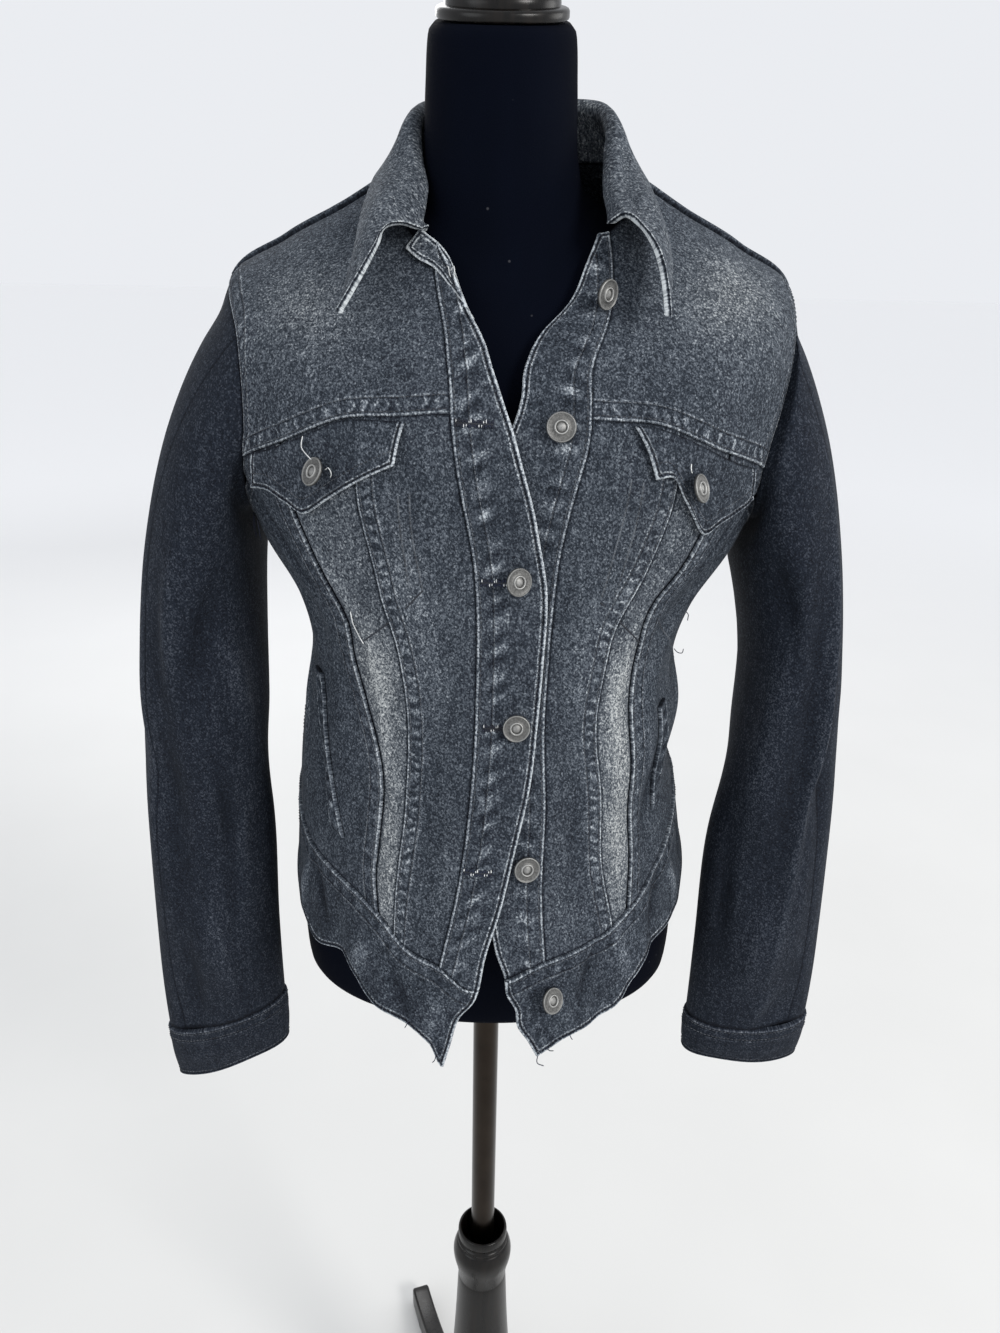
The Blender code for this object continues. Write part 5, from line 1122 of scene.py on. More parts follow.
# Painted shade: dark cloth for the shade inside the buttonhole slits and in the dents along the pocket bags'
# slants.
SLIT_PAINTED_SHADE = make_thread("dark_hollow_cloth", (0.004, 0.0055, 0.01), (0.014, 0.018, 0.028), 0.6)
RIDGE_CLOTH = make_thread("ridge_cloth", (0.026, 0.033, 0.044), (0.1, 0.115, 0.135), 0.55)

# ---------------------------------------------------------------- front and back panels


def front_seam(seam, side):
    """A front seam's levels from the yoke seam down to the waistband's seam."""
    start = settle(seam[0][0], lambda level: yoke_level(seam_turn(seam, level), side))
    end = settle(WAIST_START, lambda level: waist_level(seam_turn(seam, level)))
    return start, end


def armhole_border(side, start, end):
    sign = side_sign(side)
    return lambda share: chain(ARMHOLE_FRONT[side], start + (end - start) * share) * np.array([sign, 1.0])


def upright(turn, top, bottom):
    """A straight line down the torso at one turn."""
    return straight_border((turn, float(top)), (turn, float(bottom)))


def side_seam_border(sign):
    return upright(sign * SIDE_TURN, UNDERARM_LEVEL, waist_level(SIDE_TURN))


def make_front_panels(side):
    yoke = lambda turns: yoke_level(turns, side)
    seams = []
    for table in (PLACKET_SEAM[side], INNER_SEAM[side], OUTER_SEAM[side]):
        start, end = front_seam(table, side)
        seams.append((seam_border(table, start, end), float(seam_turn(table, start)),
                      float(seam_turn(table, end))))
    arm = armhole_border(side, YOKE_FRONT_SHARE, 1.0)
    outside = joined((arm, 1.0), (side_seam_border(side_sign(side)), 3.0))
    seams.append((outside, float(end_of(arm, 0.0)[0]), side_sign(side) * SIDE_TURN))
    kinds = (("front_centre", "under ladder under under"), ("front_wedge", "under deep under under"),
             ("front_side", "over over under under"))
    for (name, edges), near, far in zip(kinds, seams, seams[1:]):
        torso_cloth(f"{name}_{side}", near[0], far[0], level_border(near[1], far[1], yoke),
                    level_border(near[2], far[2], waist_level), edges)


def make_front_yoke(side):
    seam = PLACKET_SEAM[side]
    start, corner = seam[0][0], front_seam(seam, side)[0]
    shoulder_turn = side_sign(side) * SIDE_TURN
    neck_turn = float(seam_turn(seam, start))
    neck = lambda share: pairs(neck_turn + (shoulder_turn - neck_turn) * share, start * (1.0 - share) ** 2)
    shoulder = upright(shoulder_turn, 0.0, SHOULDER_TIP_LEVEL)
    far = armhole_border(side, 0.0, YOKE_FRONT_SHARE)
    bottom = level_border(float(seam_turn(seam, corner)), float(end_of(far, 1.0)[0]),
                          lambda turns: yoke_level(turns, side))
    torso_cloth(f"front_yoke_{side}", seam_border(seam, start, corner), far,
                joined((neck, 6.0), (shoulder, 4.0)), bottom, "under over deep ladder")


# The plackets' lift above the surface: at the seam, and how much more at the front edge.
PLACKET_LIFT = {"r": (0.0006, 0.0026), "l": (-0.0002, -0.0018)}


def make_placket(side):
    seam, edge = PLACKET_SEAM[side], FRONT_EDGE[side]
    start, end = seam[0][0], front_seam(seam, side)[1]
    edge_end = settle(WAIST_START, lambda level: waist_level(seam_turn(edge, level)))
    near, far = seam_border(seam, start, end), seam_border(edge, edge[0][0], edge_end)
    rise, more = PLACKET_LIFT[side]
    torso_cloth(f"placket_{side}", near, far, straight_border(end_of(near, 0.0), end_of(far, 0.0)),
                level_border(float(seam_turn(seam, end)), float(seam_turn(edge, edge_end)), waist_level),
                "blobs free free under", lambda _rows, columns: rise + more * columns, FOLDED_DENIM)


def between(node, near, far, kinds):
    """A back panel between two seams, from a straight top to the waistband."""
    torso_cloth(node, near, far, straight_border(end_of(near, 0.0), end_of(far, 0.0)),
                level_border(end_of(near, 1.0)[0], end_of(far, 1.0)[0], waist_level), kinds)


def make_back_panels():
    seam = seam_border(BACK_SEAM, BACK_YOKE_LEVEL, float(waist_level(1.0)))
    for side in ("r", "l"):
        sign = side_sign(side)
        arm = lambda share: (chain(ARMHOLE_BACK, YOKE_BACK_SHARE + (1.0 - YOKE_BACK_SHARE) * share)
                             * np.array([sign, 1.0]))
        outline = joined((arm, 5.0), (side_seam_border(sign), 12.0))
        between(f"back_side_{side}", outline, mirrored(seam) if side == "r" else seam,
                "over under under under")
    between("back_centre", seam, far_side(seam), "ladder ladder under under")


def make_back_yoke():
    shoulder = upright(SIDE_TURN, 0.0, SHOULDER_TIP_LEVEL)
    arm = lambda share: chain(ARMHOLE_BACK, YOKE_BACK_SHARE * share)
    left = joined((shoulder, 4.0), (arm, 4.0))
    seam_top = (float(seam_turn(BACK_SEAM, BACK_YOKE_LEVEL)), BACK_YOKE_LEVEL)
    side = straight_border(end_of(left, 1.0), seam_top)
    middle = straight_border(seam_top, (2.0 - seam_top[0], BACK_YOKE_LEVEL))
    other = lambda share: far_side(side)(1.0 - np.asarray(share))
    torso_cloth("back_yoke", left, far_side(left), straight_border((SIDE_TURN, 0.0), (2.0 - SIDE_TURN, 0.0)),
                joined((side, 5.0), (middle, 7.0), (other, 5.0)), "rope rope under ladder")


def make_waistband():
    folds = FOLDS + CREASES + BAND_CREASES
    for side in ("r", "l"):
        edge = FRONT_EDGE[side]
        start = settle(WAIST_START, lambda level: waist_level(seam_turn(edge, level)))
        near = seam_border(edge, start, float(hem_level(edge[-1][1])))
        turn = side_sign(side) * SIDE_TURN
        far = upright(turn, waist_level(turn), hem_level(turn))
        torso_cloth(f"waistband_front_{side}", near, far,
                    level_border(end_of(near, 0.0)[0], turn, waist_level),
                    level_border(end_of(near, 1.0)[0], turn, hem_level), "lip plain over lip", BAND_LIFT,
                    BAND_DENIM, folds, BAND_STEP)
    near = upright(SIDE_TURN, waist_level(SIDE_TURN), hem_level(SIDE_TURN))
    top, bottom = (level_border(SIDE_TURN, 2.0 - SIDE_TURN, levels) for levels in (waist_level, hem_level))
    torso_cloth("waistband_back", near, far_side(near), top, bottom, "over over over free", BAND_LIFT,
                BAND_DENIM, folds)


def make_flap(side):
    cuts = smooth(by_index(FLAPS[side]), np.linspace(0.0, len(FLAPS[side]) - 1, 61))
    points = [(index / 60.0, *cut) for index, cut in enumerate(cuts)]
    top = lambda share: smooth(points, share)[..., 0:2]
    low = lambda share: smooth(points, share)[..., 2:4]
    sides = [straight_border(end_of(top, share), end_of(low, share)) for share in (0.0, 1.0)]
    torso_cloth(f"pocket_flap_{side}", *sides, top, low, "lip free under lip",
                lambda rows, _columns: FLAP_LIFT + FLAP_DROOP * rows, FOLDED_DENIM, step=FLAP_STEP)


def make_welt(side):
    (start_level, start_turn), (end_level, end_turn) = WELTS[side]
    sides = [straight_border((start_turn + across, start_level), (end_turn + across, end_level))
             for across in (-WELT_TURN, WELT_TURN)]
    ends = [straight_border(*(end_of(border, share) for border in sides)) for share in (0.0, 1.0)]
    torso_cloth(f"pocket_welt_{side}", *sides, *ends, "over over under under", WELT_LIFT, WELT_DENIM,
                step=WELT_STEP)


# ---------------------------------------------------------------- collar


def neck_outward(turn, reach=0.01):
    along = bare_torso(turn + reach, np.zeros_like(turn)) - bare_torso(turn - reach, np.zeros_like(turn))
    return unit(np.stack((along[..., 1], -along[..., 0], np.zeros_like(turn)), -1))


def collar_half(side, stations, columns):
    """Points of one half of the collar: stations from its front end to the back, columns over the fold."""
    cuts = smooth(by_index(COLLAR[side]), stations * (len(COLLAR[side]) - 1))
    turn = cuts[:, 0]
    bow, sway, roll, drop = np.moveaxis(cuts[:, 7:, None], 1, 0)
    out, up = neck_outward(turn), np.array([0.0, 0.0, 1.0])
    ahead = unit(np.array([0.0, -1.0, 0.0]) + out * out[:, 1:2])
    swing = (out * 0.6 + up * 0.8) * bow + ahead * sway
    seam = bare_torso(turn, np.zeros_like(turn)) + up * COLLAR_SEAM_RISE - out * FOLDED_DENIM * 0.7
    fold, edge = cuts[:, 1:4], cuts[:, 4:7]
    stand_top = fold - out * roll - up * drop
    fall_top = fold + out * roll - up * drop
    points = [seam + (stand_top - seam) * share for share in (0.0, 1 / 3, 2 / 3, 1.0)]
    points.append(fold)
    for share in (0.0, 0.25, 0.5, 0.75, 1.0):
        points.append(fall_top + (edge - fall_top) * share + swing * math.sin(math.pi * share))
    section = np.stack(points, axis=1)
    lengths = run_lengths(section.mean(axis=0))
    keys = lengths / lengths[-1]
    flat = np.transpose(section, (1, 0, 2)).reshape(len(keys), -1)
    fine = smooth([(key, *row) for key, row in zip(keys, flat)], columns)
    return np.transpose(fine.reshape(len(columns), len(stations), 3), (1, 0, 2))


def grid_normals(grid, closed=False):
    """Normals of a grid: across its columns by down its rows."""
    over = (np.roll(grid, -1, axis=1) - np.roll(grid, 1, axis=1)) if closed else np.gradient(grid, axis=1)
    return unit(np.cross(over, np.gradient(grid, axis=0)))


def make_collar():
    columns = even_shares(COLLAR_WIDTH, FINE_STEP)
    stations = np.unique(np.concatenate((np.linspace(0.0, 1.0, 81), np.array(EDGE_STEPS[1:]) / HALF_COLLAR)))
    right, left = (collar_half(side, stations, columns) for side in ("r", "l"))
    grid = np.concatenate((right, left[-2::-1]))
    away = np.abs(np.linspace(-1.0, 1.0, len(grid)))[:, None]
    fades = COLLAR_FADE * (np.clip(1.0 - 2.2 * away, 0.0, 1.0) + 1.0)
    make_cloth("collar", grid, grid_normals(grid), edge_kinds("plain free roll roll"), FOLDED_DENIM,
               BODY_CLOTH, fade=np.broadcast_to(fades, grid.shape[:2]))


# ---------------------------------------------------------------- sleeves and cuffs


def arm_angles():
    front = np.linspace(0.0, math.pi, FRONT_STEPS * ARM_FINE + 1)
    back = np.linspace(math.pi, FULL_TURN, BACK_STEPS * ARM_FINE + 1)
    return np.concatenate((front, back[1:-1]))


def armhole_places(side):
    """Armhole places: from the shoulder tip down the front and up the back."""
    steps_front = np.linspace(0.0, FRONT_STEPS, FRONT_STEPS * ARM_FINE + 1)
    steps_back = np.linspace(0.0, BACK_STEPS, BACK_STEPS * ARM_FINE + 1)[1:-1][::-1]
    front = chain(ARMHOLE_FRONT[side], np.interp(steps_front, *ARM_FRONT_STOPS))
    back = chain(ARMHOLE_BACK, np.interp(steps_back, *ARM_BACK_STOPS))
    return np.concatenate((front, back)) * np.array([side_sign(side), 1.0])


def tube_points(row, angle, side):
    """Points of sleeve rings: row has one line of the table's values for each ring."""
    outer_x, outer_z, inner_x, inner_z, forward, half_depth = np.moveaxis(row, -1, 0)[..., None]
    cosine, sine = np.cos(angle), np.sin(angle)
    x = (outer_x + inner_x) / 2.0 + (outer_x - inner_x) / 2.0 * cosine
    z = (outer_z + inner_z) / 2.0 + (outer_z - inner_z) / 2.0 * cosine
    y = -forward - half_depth * sine
    return np.stack(np.broadcast_arrays(side_sign(side) * x, y, z), -1)


def tube_rows(table, places, lifts):
    rows = smooth(by_index(table), places)
    rows[..., 1] += lifts[0]
    rows[..., 3] += lifts[1]
    return rows


def sleeve_height(folds, angle, row):
    return SLEEVE_FOLD_SCALE * fold_height(folds, angle, row, FULL_TURN)


def sleeve_grid(side):
    """A whole sleeve's outer points and normals: rows down the arm, columns round it."""
    angles = arm_angles()
    armhole = armhole_places(side)
    edge = torso(armhole[:, 0], armhole[:, 1])
    body_normals = surface_normals(torso_with(FOLDS), armhole[:, 0], armhole[:, 1])
    inward = edge.mean(axis=0) - edge
    inward = unit(inward - body_normals * (inward * body_normals).sum(-1, keepdims=True))
    edge = edge + inward * GAP
    under = (((1.0 - np.cos(angles)) / 2.0) ** 1.5)[:, None]
    start = edge + body_normals * UNDERARM_REACH * under
    last = len(SLEEVE) - 1
    places = np.linspace(0.0, last, SLEEVE_RINGS)
    share = (places / last) ** 3
    rows = tube_rows(SLEEVE, places, (CUFF_LIFT[side][0] * share, CUFF_LIFT[side][1] * share))
    rows[:, 2] += SLEEVE_LEAN[side] * np.exp(-((places - SLEEVE_LEAN_ROW) / SLEEVE_LEAN_ROWS) ** 2)
    first = tube_points(tube_rows(SLEEVE, np.array([0.0]), (0.0, 0.0)), angles, side)[0]
    near = (np.maximum(0.0, 1.0 - places / SLEEVE_HEAD) ** 2)[:, None, None]
    rings = tube_points(rows, angles, side) + (start - first) * HEAD_FOLLOW * near
    turned_out = edge + (rings[0] - edge) * TURN_OUT * (1.0 - under) + body_normals * UNDERARM_REACH * under
    coarse = np.concatenate((edge[None], turned_out[None], rings))
    count = len(coarse)
    index = np.linspace(0.0, count - 1, (count - 1) * ROW_FINE + 1)
    fine = smooth([(i, *ring.ravel()) for i, ring in enumerate(coarse)], index).reshape(len(index), -1, 3)
    place_at = np.interp(index, np.arange(count), np.concatenate(([0.0, 0.0], places)))
    normals = grid_normals(fine, True) * side_sign(side)
    blend_in = np.clip(1.0 - index / 1.0, 0.0, 1.0)[:, None, None]
    at_body = unit(body_normals + (normals[0] - body_normals) * under)
    normals = unit(normals * (1.0 - blend_in) + at_body[None] * blend_in)
    creases = sleeve_height(SLEEVE_CREASES[side], angles[None], place_at[:, None])
    height = sleeve_height(SLEEVE_FOLDS, angles[None], place_at[:, None])
    height += creases * np.clip(index / 4.0, 0, 1)[:, None]
    fine = fine + normals * height[..., None]
    normals = unit(grid_normals(fine, True) * side_sign(side) * (1.0 - blend_in) + at_body[None] * blend_in)
    return fine, normals, creases


def make_sleeve(side):
    grid, normals, relief = sleeve_grid(side)
    count = grid.shape[1]
    front, back = SLEEVE_SEAM_FRONT * ARM_FINE, count - SLEEVE_SEAM_BACK * ARM_FINE
    outer = list(range(back, count)) + list(range(front + 1))
    inner = list(range(front, back + 1))
    for name, part, seams in (("outer", outer, "under under under under"),
                              ("inner", inner, "plain plain under under")):
        make_cloth(f"sleeve_{name}_{side}", grid[:, part], normals[:, part], edge_kinds(seams), DENIM,
                   SLEEVE_CLOTH, flip=side == "r", relief=relief[:, part])


CUFF_WAVES = ((2.0, 0.0011, 0.6), (3.0, 0.0008, 2.1), (5.0, 0.0004, 4.0))     # count, height, phase
CUFF_LAYER = -0.0006       # the cuff's face against its solid's
CUFF_LENGTH = 0.052


def cuff_grid(side, shares):
    places = (len(CUFF) - 1) * shares
    shorter = CUFF_SHORTENING[side] * shares
    angles = arm_angles()
    rows = tube_rows(CUFF, places, (CUFF_LIFT[side][0] + shorter, CUFF_LIFT[side][1] + shorter))
    grid = tube_points(rows, angles, side)
    for count, height, phase in CUFF_WAVES:
        grid[..., 2] += height * shares[:, None] ** 2 * np.sin(count * angles + phase)
    return grid


def make_cuff(side):
    grid = cuff_grid(side, even_shares(CUFF_LENGTH, FINE_STEP))
    grid[0, :, 2] -= GAP
    make_cloth(f"cuff_{side}", grid, grid_normals(grid, True) * side_sign(side),
               dict(top="over", bottom="free"), BAND_DENIM, SLEEVE_CLOTH, closed=True, flip=side == "r",
               lift=CUFF_LAYER)


# ---------------------------------------------------------------- turned and bent pieces


def lathe(name, profile, sides, material, smooth_angle=40.0):
    """A solid of revolution from (radius, height) pairs, listed from the top to the foot."""
    profile = np.array(profile)
    angles = np.linspace(0.0, FULL_TURN, sides, endpoint=False)
    vertices, loops = [], []
    for radius, height in profile:
        if radius < 1e-6:
            loops.append([len(vertices)])
            vertices.append((0.0, 0.0, height))
        else:
            loops.append(list(range(len(vertices), len(vertices) + sides)))
            vertices += [(radius * math.cos(a), radius * math.sin(a), height) for a in angles]
    faces = []
    for above, below in zip(loops, loops[1:]):
        for index in range(sides):
            after = (index + 1) % sides
            if len(above) == 1:
                faces.append((above[0], below[index], below[after]))
            elif len(below) == 1:
                faces.append((above[index], below[0], above[after]))
            else:
                faces.append((above[index], below[index], below[after], above[after]))
    return mesh_object(name, vertices, faces, material, smooth_angle)


BUTTON_FACE = [
    (0.0, 0.0037), (0.001, 0.0037), (0.002, 0.0035), (0.0026, 0.0032), (0.0029, 0.0031), (0.0031, 0.0035),
    (0.0034, 0.0041), (0.0037, 0.0042), (0.004, 0.004), (0.0042, 0.0034), (0.0045, 0.0032),
    (0.0056, 0.0032), (0.007, 0.0032), (0.0074, 0.0033), (0.0076, 0.0036), (0.0079, 0.0038),
    (0.0083, 0.0036), (0.0085, 0.003), (0.0085, 0.0023), (0.0082, 0.0019), (0.006, 0.0016), (0.004, 0.0014),
    (0.0037, 0.001), (0.0039, 0.0003), (0.004, 0.0), (0.0, 0.0),
]
BUTTON_SIDES = 56
FACE_FLOOR = 0.0029
FACE_TOP = 0.0042


def leaned(normal, aside, nod):
    """A direction turned aside about the vertical and then nodded upwards, in degrees."""
    level_axis = Vector((0.0, 0.0, 1.0)).cross(normal).normalized()
    nodded = Matrix.Rotation(-math.radians(nod), 3, level_axis) @ normal
    return Matrix.Rotation(math.radians(aside), 3, "Z") @ nodded


def rim_rise(normal, facing):
    """How far a leaning button stands off, so that its rim stays clear of the cloth."""
    lean = normal.angle(facing)
    return max(0.0, BUTTON_RADIUS * math.sin(lean) - BUTTON_RIM_FOOT * math.cos(lean))


def keep(item, node, body):
    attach(item, body)
    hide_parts(node)


def make_button(name, point, normal, facing):
    item = lathe(name + "_metal", BUTTON_FACE, BUTTON_SIDES, BUTTON_METAL, 55.0)
    places = np.array([tuple(vertex.co) for vertex in item.data.vertices])
    radius = np.hypot(places[:, 0], places[:, 1]) / BUTTON_RADIUS
    height = np.clip((places[:, 2] - FACE_FLOOR) / (FACE_TOP - FACE_FLOOR), 0.0, 1.0)
    set_attribute(item, "turned", np.stack((radius, height, np.zeros_like(radius)), -1))
    turn = Vector((0.0, 0.0, 1.0)).rotation_difference(facing)
    place = point + normal * (GAP + rim_rise(normal, facing)) + Vector((0.0, AXIS_Y, 0.0))
    item.data.transform(Matrix.Translation(place) @ turn.to_matrix().to_4x4())
    keep(item, name, GARMENT)


def make_buttons():
    surface = torso_with(FOLDS)
    for spot in BUTTONS:
        turn, level = np.array([spot.turn]), np.array([spot.level])
        normal = Vector(surface_normals(surface, turn, level)[0])
        point = Vector(surface(turn, level)[0]) + normal * spot.lift
        make_button(spot.name, point, normal, leaned(normal, spot.aside, spot.nod))
    for side in ("r", "l"):
        rise = CUFF_SHORTENING[side] * 0.5
        rows = tube_rows(CUFF, np.array([1.0]), (CUFF_LIFT[side][0] + rise, CUFF_LIFT[side][1] + rise))
        ring = tube_points(rows, arm_angles(), side)[0]
        spot = len(ring) - SLEEVE_SEAM_BACK * ARM_FINE
        beside = ring[spot + ARM_FINE] - ring[spot - ARM_FINE]
        normal = Vector((beside[1], -beside[0], 0.0)).normalized()
        if normal.y < 0.0:
            normal = -normal
        make_button(f"cuff_button_{side}", Vector(ring[spot]) + normal * CUFF_BUTTON_LIFT, normal, normal)


def moved_to_axis(item):
    item.data.transform(Matrix.Translation((0.0, AXIS_Y, 0.0)))
    return item


def make_form():
    sides, rows = 144, 130
    levels = np.linspace(0.0, FORM[-1].level, rows + 1)
    turns = np.linspace(-1.0, 1.0, sides, endpoint=False)
    grid = on_axis(ring_points(FORM, turns[None, :], np.repeat(levels[:, None], sides, axis=1)))
    faces = grid_faces(rows + 1, sides, 0, True, False).tolist()
    faces.append(list(range(sides))[::-1])
    faces.append(list(range(rows * sides, (rows + 1) * sides)))
    keep(mesh_object("form_velvet", grid.reshape(-1, 3), faces, VELVET, 45.0), "form_body",
         GARMENT)


CAP_PROFILE = [
    (0.0, 0.0135), (0.027, 0.0135), (0.03, 0.0132), (0.0322, 0.0122), (0.0332, 0.0105), (0.0335, 0.0085),
    (0.0335, 0.0068), (0.0345, 0.0064), (0.0365, 0.0062), (0.0378, 0.0056), (0.0385, 0.0044),
    (0.0385, 0.0012), (0.038, 0.0003), (0.037, 0.0), (0.0, 0.0),
]


def make_neck_cap():
    item = lathe("neck_cap_lacquered", CAP_PROFILE, 96, LACQUER)
    ends = ring_points(FORM, np.array([0.0, 1.0]), np.full(2, FORM[-1].level))
    slope = math.atan2(ends[1, 2] - ends[0, 2], ends[1, 1] - ends[0, 1])
    middle = Vector(ends.mean(axis=0)) + Vector((0.0, -math.sin(slope), math.cos(slope))) * GAP
    item.data.transform(Matrix.Translation(middle) @ Matrix.Rotation(slope, 4, "X"))
    keep(moved_to_axis(item), "neck_cap", GARMENT)


# The plate under the form as (radius, drop below its top).
FLANGE = [(0.0332, 0.0), (0.034, 0.0008), (0.034, 0.0036), (0.033, 0.0044), (0.019, 0.006), (0.0168, 0.0072),
          (0.016, 0.009), (0.016, 0.021), (0.0152, 0.022)]


def make_pole():
    top = FORM_FOOT_Z - GAP
    profile = [(0.0, top), (POLE_RADIUS, top), (POLE_RADIUS, POLE_FOOT_Z), (0.0, POLE_FOOT_Z)]
    keep(moved_to_axis(lathe("pole_tube", profile, 64, POLE_METAL)), "pole", "mast")
    inner = POLE_RADIUS + GAP
    flange = [(inner, top)] + [(radius, top - drop) for radius, drop in FLANGE]
    flange += [(inner, top - FLANGE[-1][1]), (inner, top)]
    keep(moved_to_axis(lathe("pole_flange_socket", flange, 64, POLE_METAL)), "pole_flange",
         GARMENT)


STEM_TURNING = [
    (0.0215, STEM_TOP_Z), (0.0232, 0.4765), (0.0236, 0.47), (0.0226, 0.4665), (0.0244, 0.464),
    (0.024, 0.461), (0.0256, 0.4585), (0.028, 0.45), (0.0276, 0.44), (0.025, 0.428), (0.0232, 0.415),
    (0.0238, 0.406), (0.0262, 0.35), (0.03, 0.29), (0.0345, 0.245), (0.035, 0.22), (0.03, 0.192),
    (0.0235, 0.176), (0.025, 0.168), (0.03, 0.164),
]
STEM_FINE = 4              # points along the curve for each of the turning's
STEM_FOOT = [(LEG_ROOT_RADIUS, 0.163), (LEG_ROOT_RADIUS, 0.07), (0.024, 0.06), (0.012, STEM_FOOT_Z),
             (0.0, STEM_FOOT_Z)]


def make_stem():
    hollow = [(0.0, BORE_FLOOR_Z), (BORE_RADIUS, BORE_FLOOR_Z), (BORE_RADIUS, RECESS_FLOOR_Z),
              (RECESS_RADIUS, RECESS_FLOOR_Z), (RECESS_RADIUS, STEM_TOP_Z - 0.001)]
    last = len(STEM_TURNING) - 1
    turning = smooth(by_index(STEM_TURNING), np.linspace(0.0, last, last * STEM_FINE + 1))
    item = lathe("stem_turned", hollow + [tuple(point) for point in turning] + STEM_FOOT, 72, LACQUER, 50.0)
    keep(moved_to_axis(item), "stem", "stand")


TOE_TOP, TOE_FRONT, TOE_ROUND = 0.03, 0.027, 0.004
FOOT_LENGTH = 0.04
LEG_RISE, ARCH_RISE = 0.112, 0.098
ARCH_START = 0.14
LEG_CURVE = 1.7
LEG_BEVEL = 0.003


def leg_outline():
    """Side view of a leg as (reach, height)."""
    root, heel = LEG_ROOT_RADIUS + GAP, LEG_REACH - FOOT_LENGTH
    upper = [(root + (LEG_REACH - TOE_ROUND - root) * share, TOE_TOP + LEG_RISE * (1.0 - share) ** LEG_CURVE)
             for share in np.linspace(0.0, 1.0, 25)]
    foot = [(LEG_REACH, TOE_FRONT), (LEG_REACH, 0.0), (heel, 0.0)]
    arch = (heel - root) / (1.0 - ARCH_START)
    lower = [(heel - arch * (share - ARCH_START), ARCH_RISE * share ** LEG_CURVE)
             for share in np.linspace(ARCH_START, 1.0, 22)]
    return upper + foot + lower[1:]


def make_leg(number, angle):
    outline = leg_outline()
    work = bmesh.new()
    half = LEG_THICKNESS / 2.0
    face = work.faces.new([work.verts.new((reach, -half, height)) for reach, height in outline])
    solid = bmesh.ops.extrude_face_region(work, geom=[face])
    bmesh.ops.translate(work, vec=(0.0, LEG_THICKNESS, 0.0),
                        verts=[part for part in solid["geom"] if isinstance(part, bmesh.types.BMVert)])
    bmesh.ops.recalc_face_normals(work, faces=work.faces)
    rails = [edge for edge in work.edges if len(edge.link_faces) == 2
             and abs(edge.link_faces[0].normal.y - edge.link_faces[1].normal.y) > 0.5]
    bmesh.ops.bevel(work, geom=rails, offset=LEG_BEVEL, segments=4, profile=0.5, affect="EDGES")
    mesh = bpy.data.meshes.new(f"leg_{number}_wood")
    work.to_mesh(mesh)
    work.free()
    item = add_object(mesh.name, mesh, LACQUER, 35.0)
    mesh.transform(Matrix.Rotation(math.radians(angle), 4, "Z"))
    keep(moved_to_axis(item), f"leg_{number}", "stand")


# ---------------------------------------------------------------- sewing

LINE_STEP = 0.0008
PATH_STEP = 0.0005


def evenly(points, normals, step=LINE_STEP):
    """A line of points and their normals, spaced evenly."""
    lengths = run_lengths(points)
    even = np.arange(0.0, lengths[-1], step)
    return spread(even, lengths, points), unit(spread(even, lengths, normals))


def spread(places, keys, values):
    """Vectors at places along a line whose vectors are known at keys."""
    return np.stack([np.interp(places, keys, values[:, axis]) for axis in range(3)], -1)


def line_on(cloth, side, offset):
    """A line on a cloth at a distance from one of its borders, with normals."""
    fields = [cloth.sides[side], cloth.outer, cloth.normals]
    if side in ("top", "bottom"):
        fields = [np.swapaxes(field, 0, 1) for field in fields]
    points, normals = [], []
    for row, place, facing in zip(*fields):
        order = np.argsort(row)
        keys = row[order]
        if keys[-1] < offset:
            continue
        points.append(spread(offset, keys, place[order]))
        normals.append(spread(offset, keys, facing[order]))
    return evenly(np.array(points), np.array(normals))


def path_on(places, lift=0.0):
    """A smooth line on the torso's cloth through places given as (level, turn), with normals.

    lift is one height above the surface, or one for each place.
    """
    share = np.linspace(0.0, 1.0, 16 * len(places))
    fine = chain(places, share)
    surface = torso_with(FOLDS + CREASES)
    normals = surface_normals(surface, fine[:, 0], fine[:, 1])
    heights = np.interp(share, np.linspace(0.0, 1.0, len(places)), np.broadcast_to(lift, len(places)))
    return evenly(surface(fine[:, 0], fine[:, 1]) + normals * heights[:, None], normals, PATH_STEP)


def add_tube(vertices, faces, line, beside, facing, sizes, sides, flat=1.0):
    """Adds a closed tube round a line of points."""
    angles = np.linspace(0.0, FULL_TURN, sides, endpoint=False)
    base, last = len(vertices), len(vertices) + (len(line) - 1) * sides
    for point, over, up, size in zip(line, beside, facing, sizes):
        vertices += [point + (over * math.cos(a) + up * math.sin(a) * flat) * size for a in angles]
    for low in range(base, last, sides):
        high = low + sides
        for index in range(sides):
            after = (index + 1) % sides
            faces.append((low + index, high + index, high + after, low + after))
    faces.append(list(range(base, base + sides)))
    faces.append(list(range(last, last + sides))[::-1])


def tubes(lines, radius, sides=6, flat=1.0, tip=0.35):
    """Vertices and faces of round or flattened tubes along lines of (points, normals)."""
    vertices, faces = [], []
    for points, normals in lines:
        along = unit(np.gradient(points, axis=0))
        beside = unit(np.cross(along, normals))
        sizes = np.full(len(points), radius)
        sizes[[0, -1]] *= tip
        add_tube(vertices, faces, points, beside, unit(np.cross(beside, along)), sizes, sides, flat)
    return vertices, faces


def make_detail(name, shape, material):
    vertices, faces = shape
    item = mesh_object(name, on_axis(np.array(vertices)), faces, material, 80.0)
    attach(item, GARMENT)


STITCH = 0.003
STITCH_GAP = 0.0007
STITCH_START = 0.002
STITCH_SIDES = 5
# A stitch's rings: share of its length, then height and size in thread radii.
STITCH_RINGS = np.array([(0.0, -0.3, 0.35), (0.18, 0.45, 0.95), (0.5, 0.75, 1.0), (0.82, 0.45, 0.95),
                         (1.0, -0.3, 0.35)])


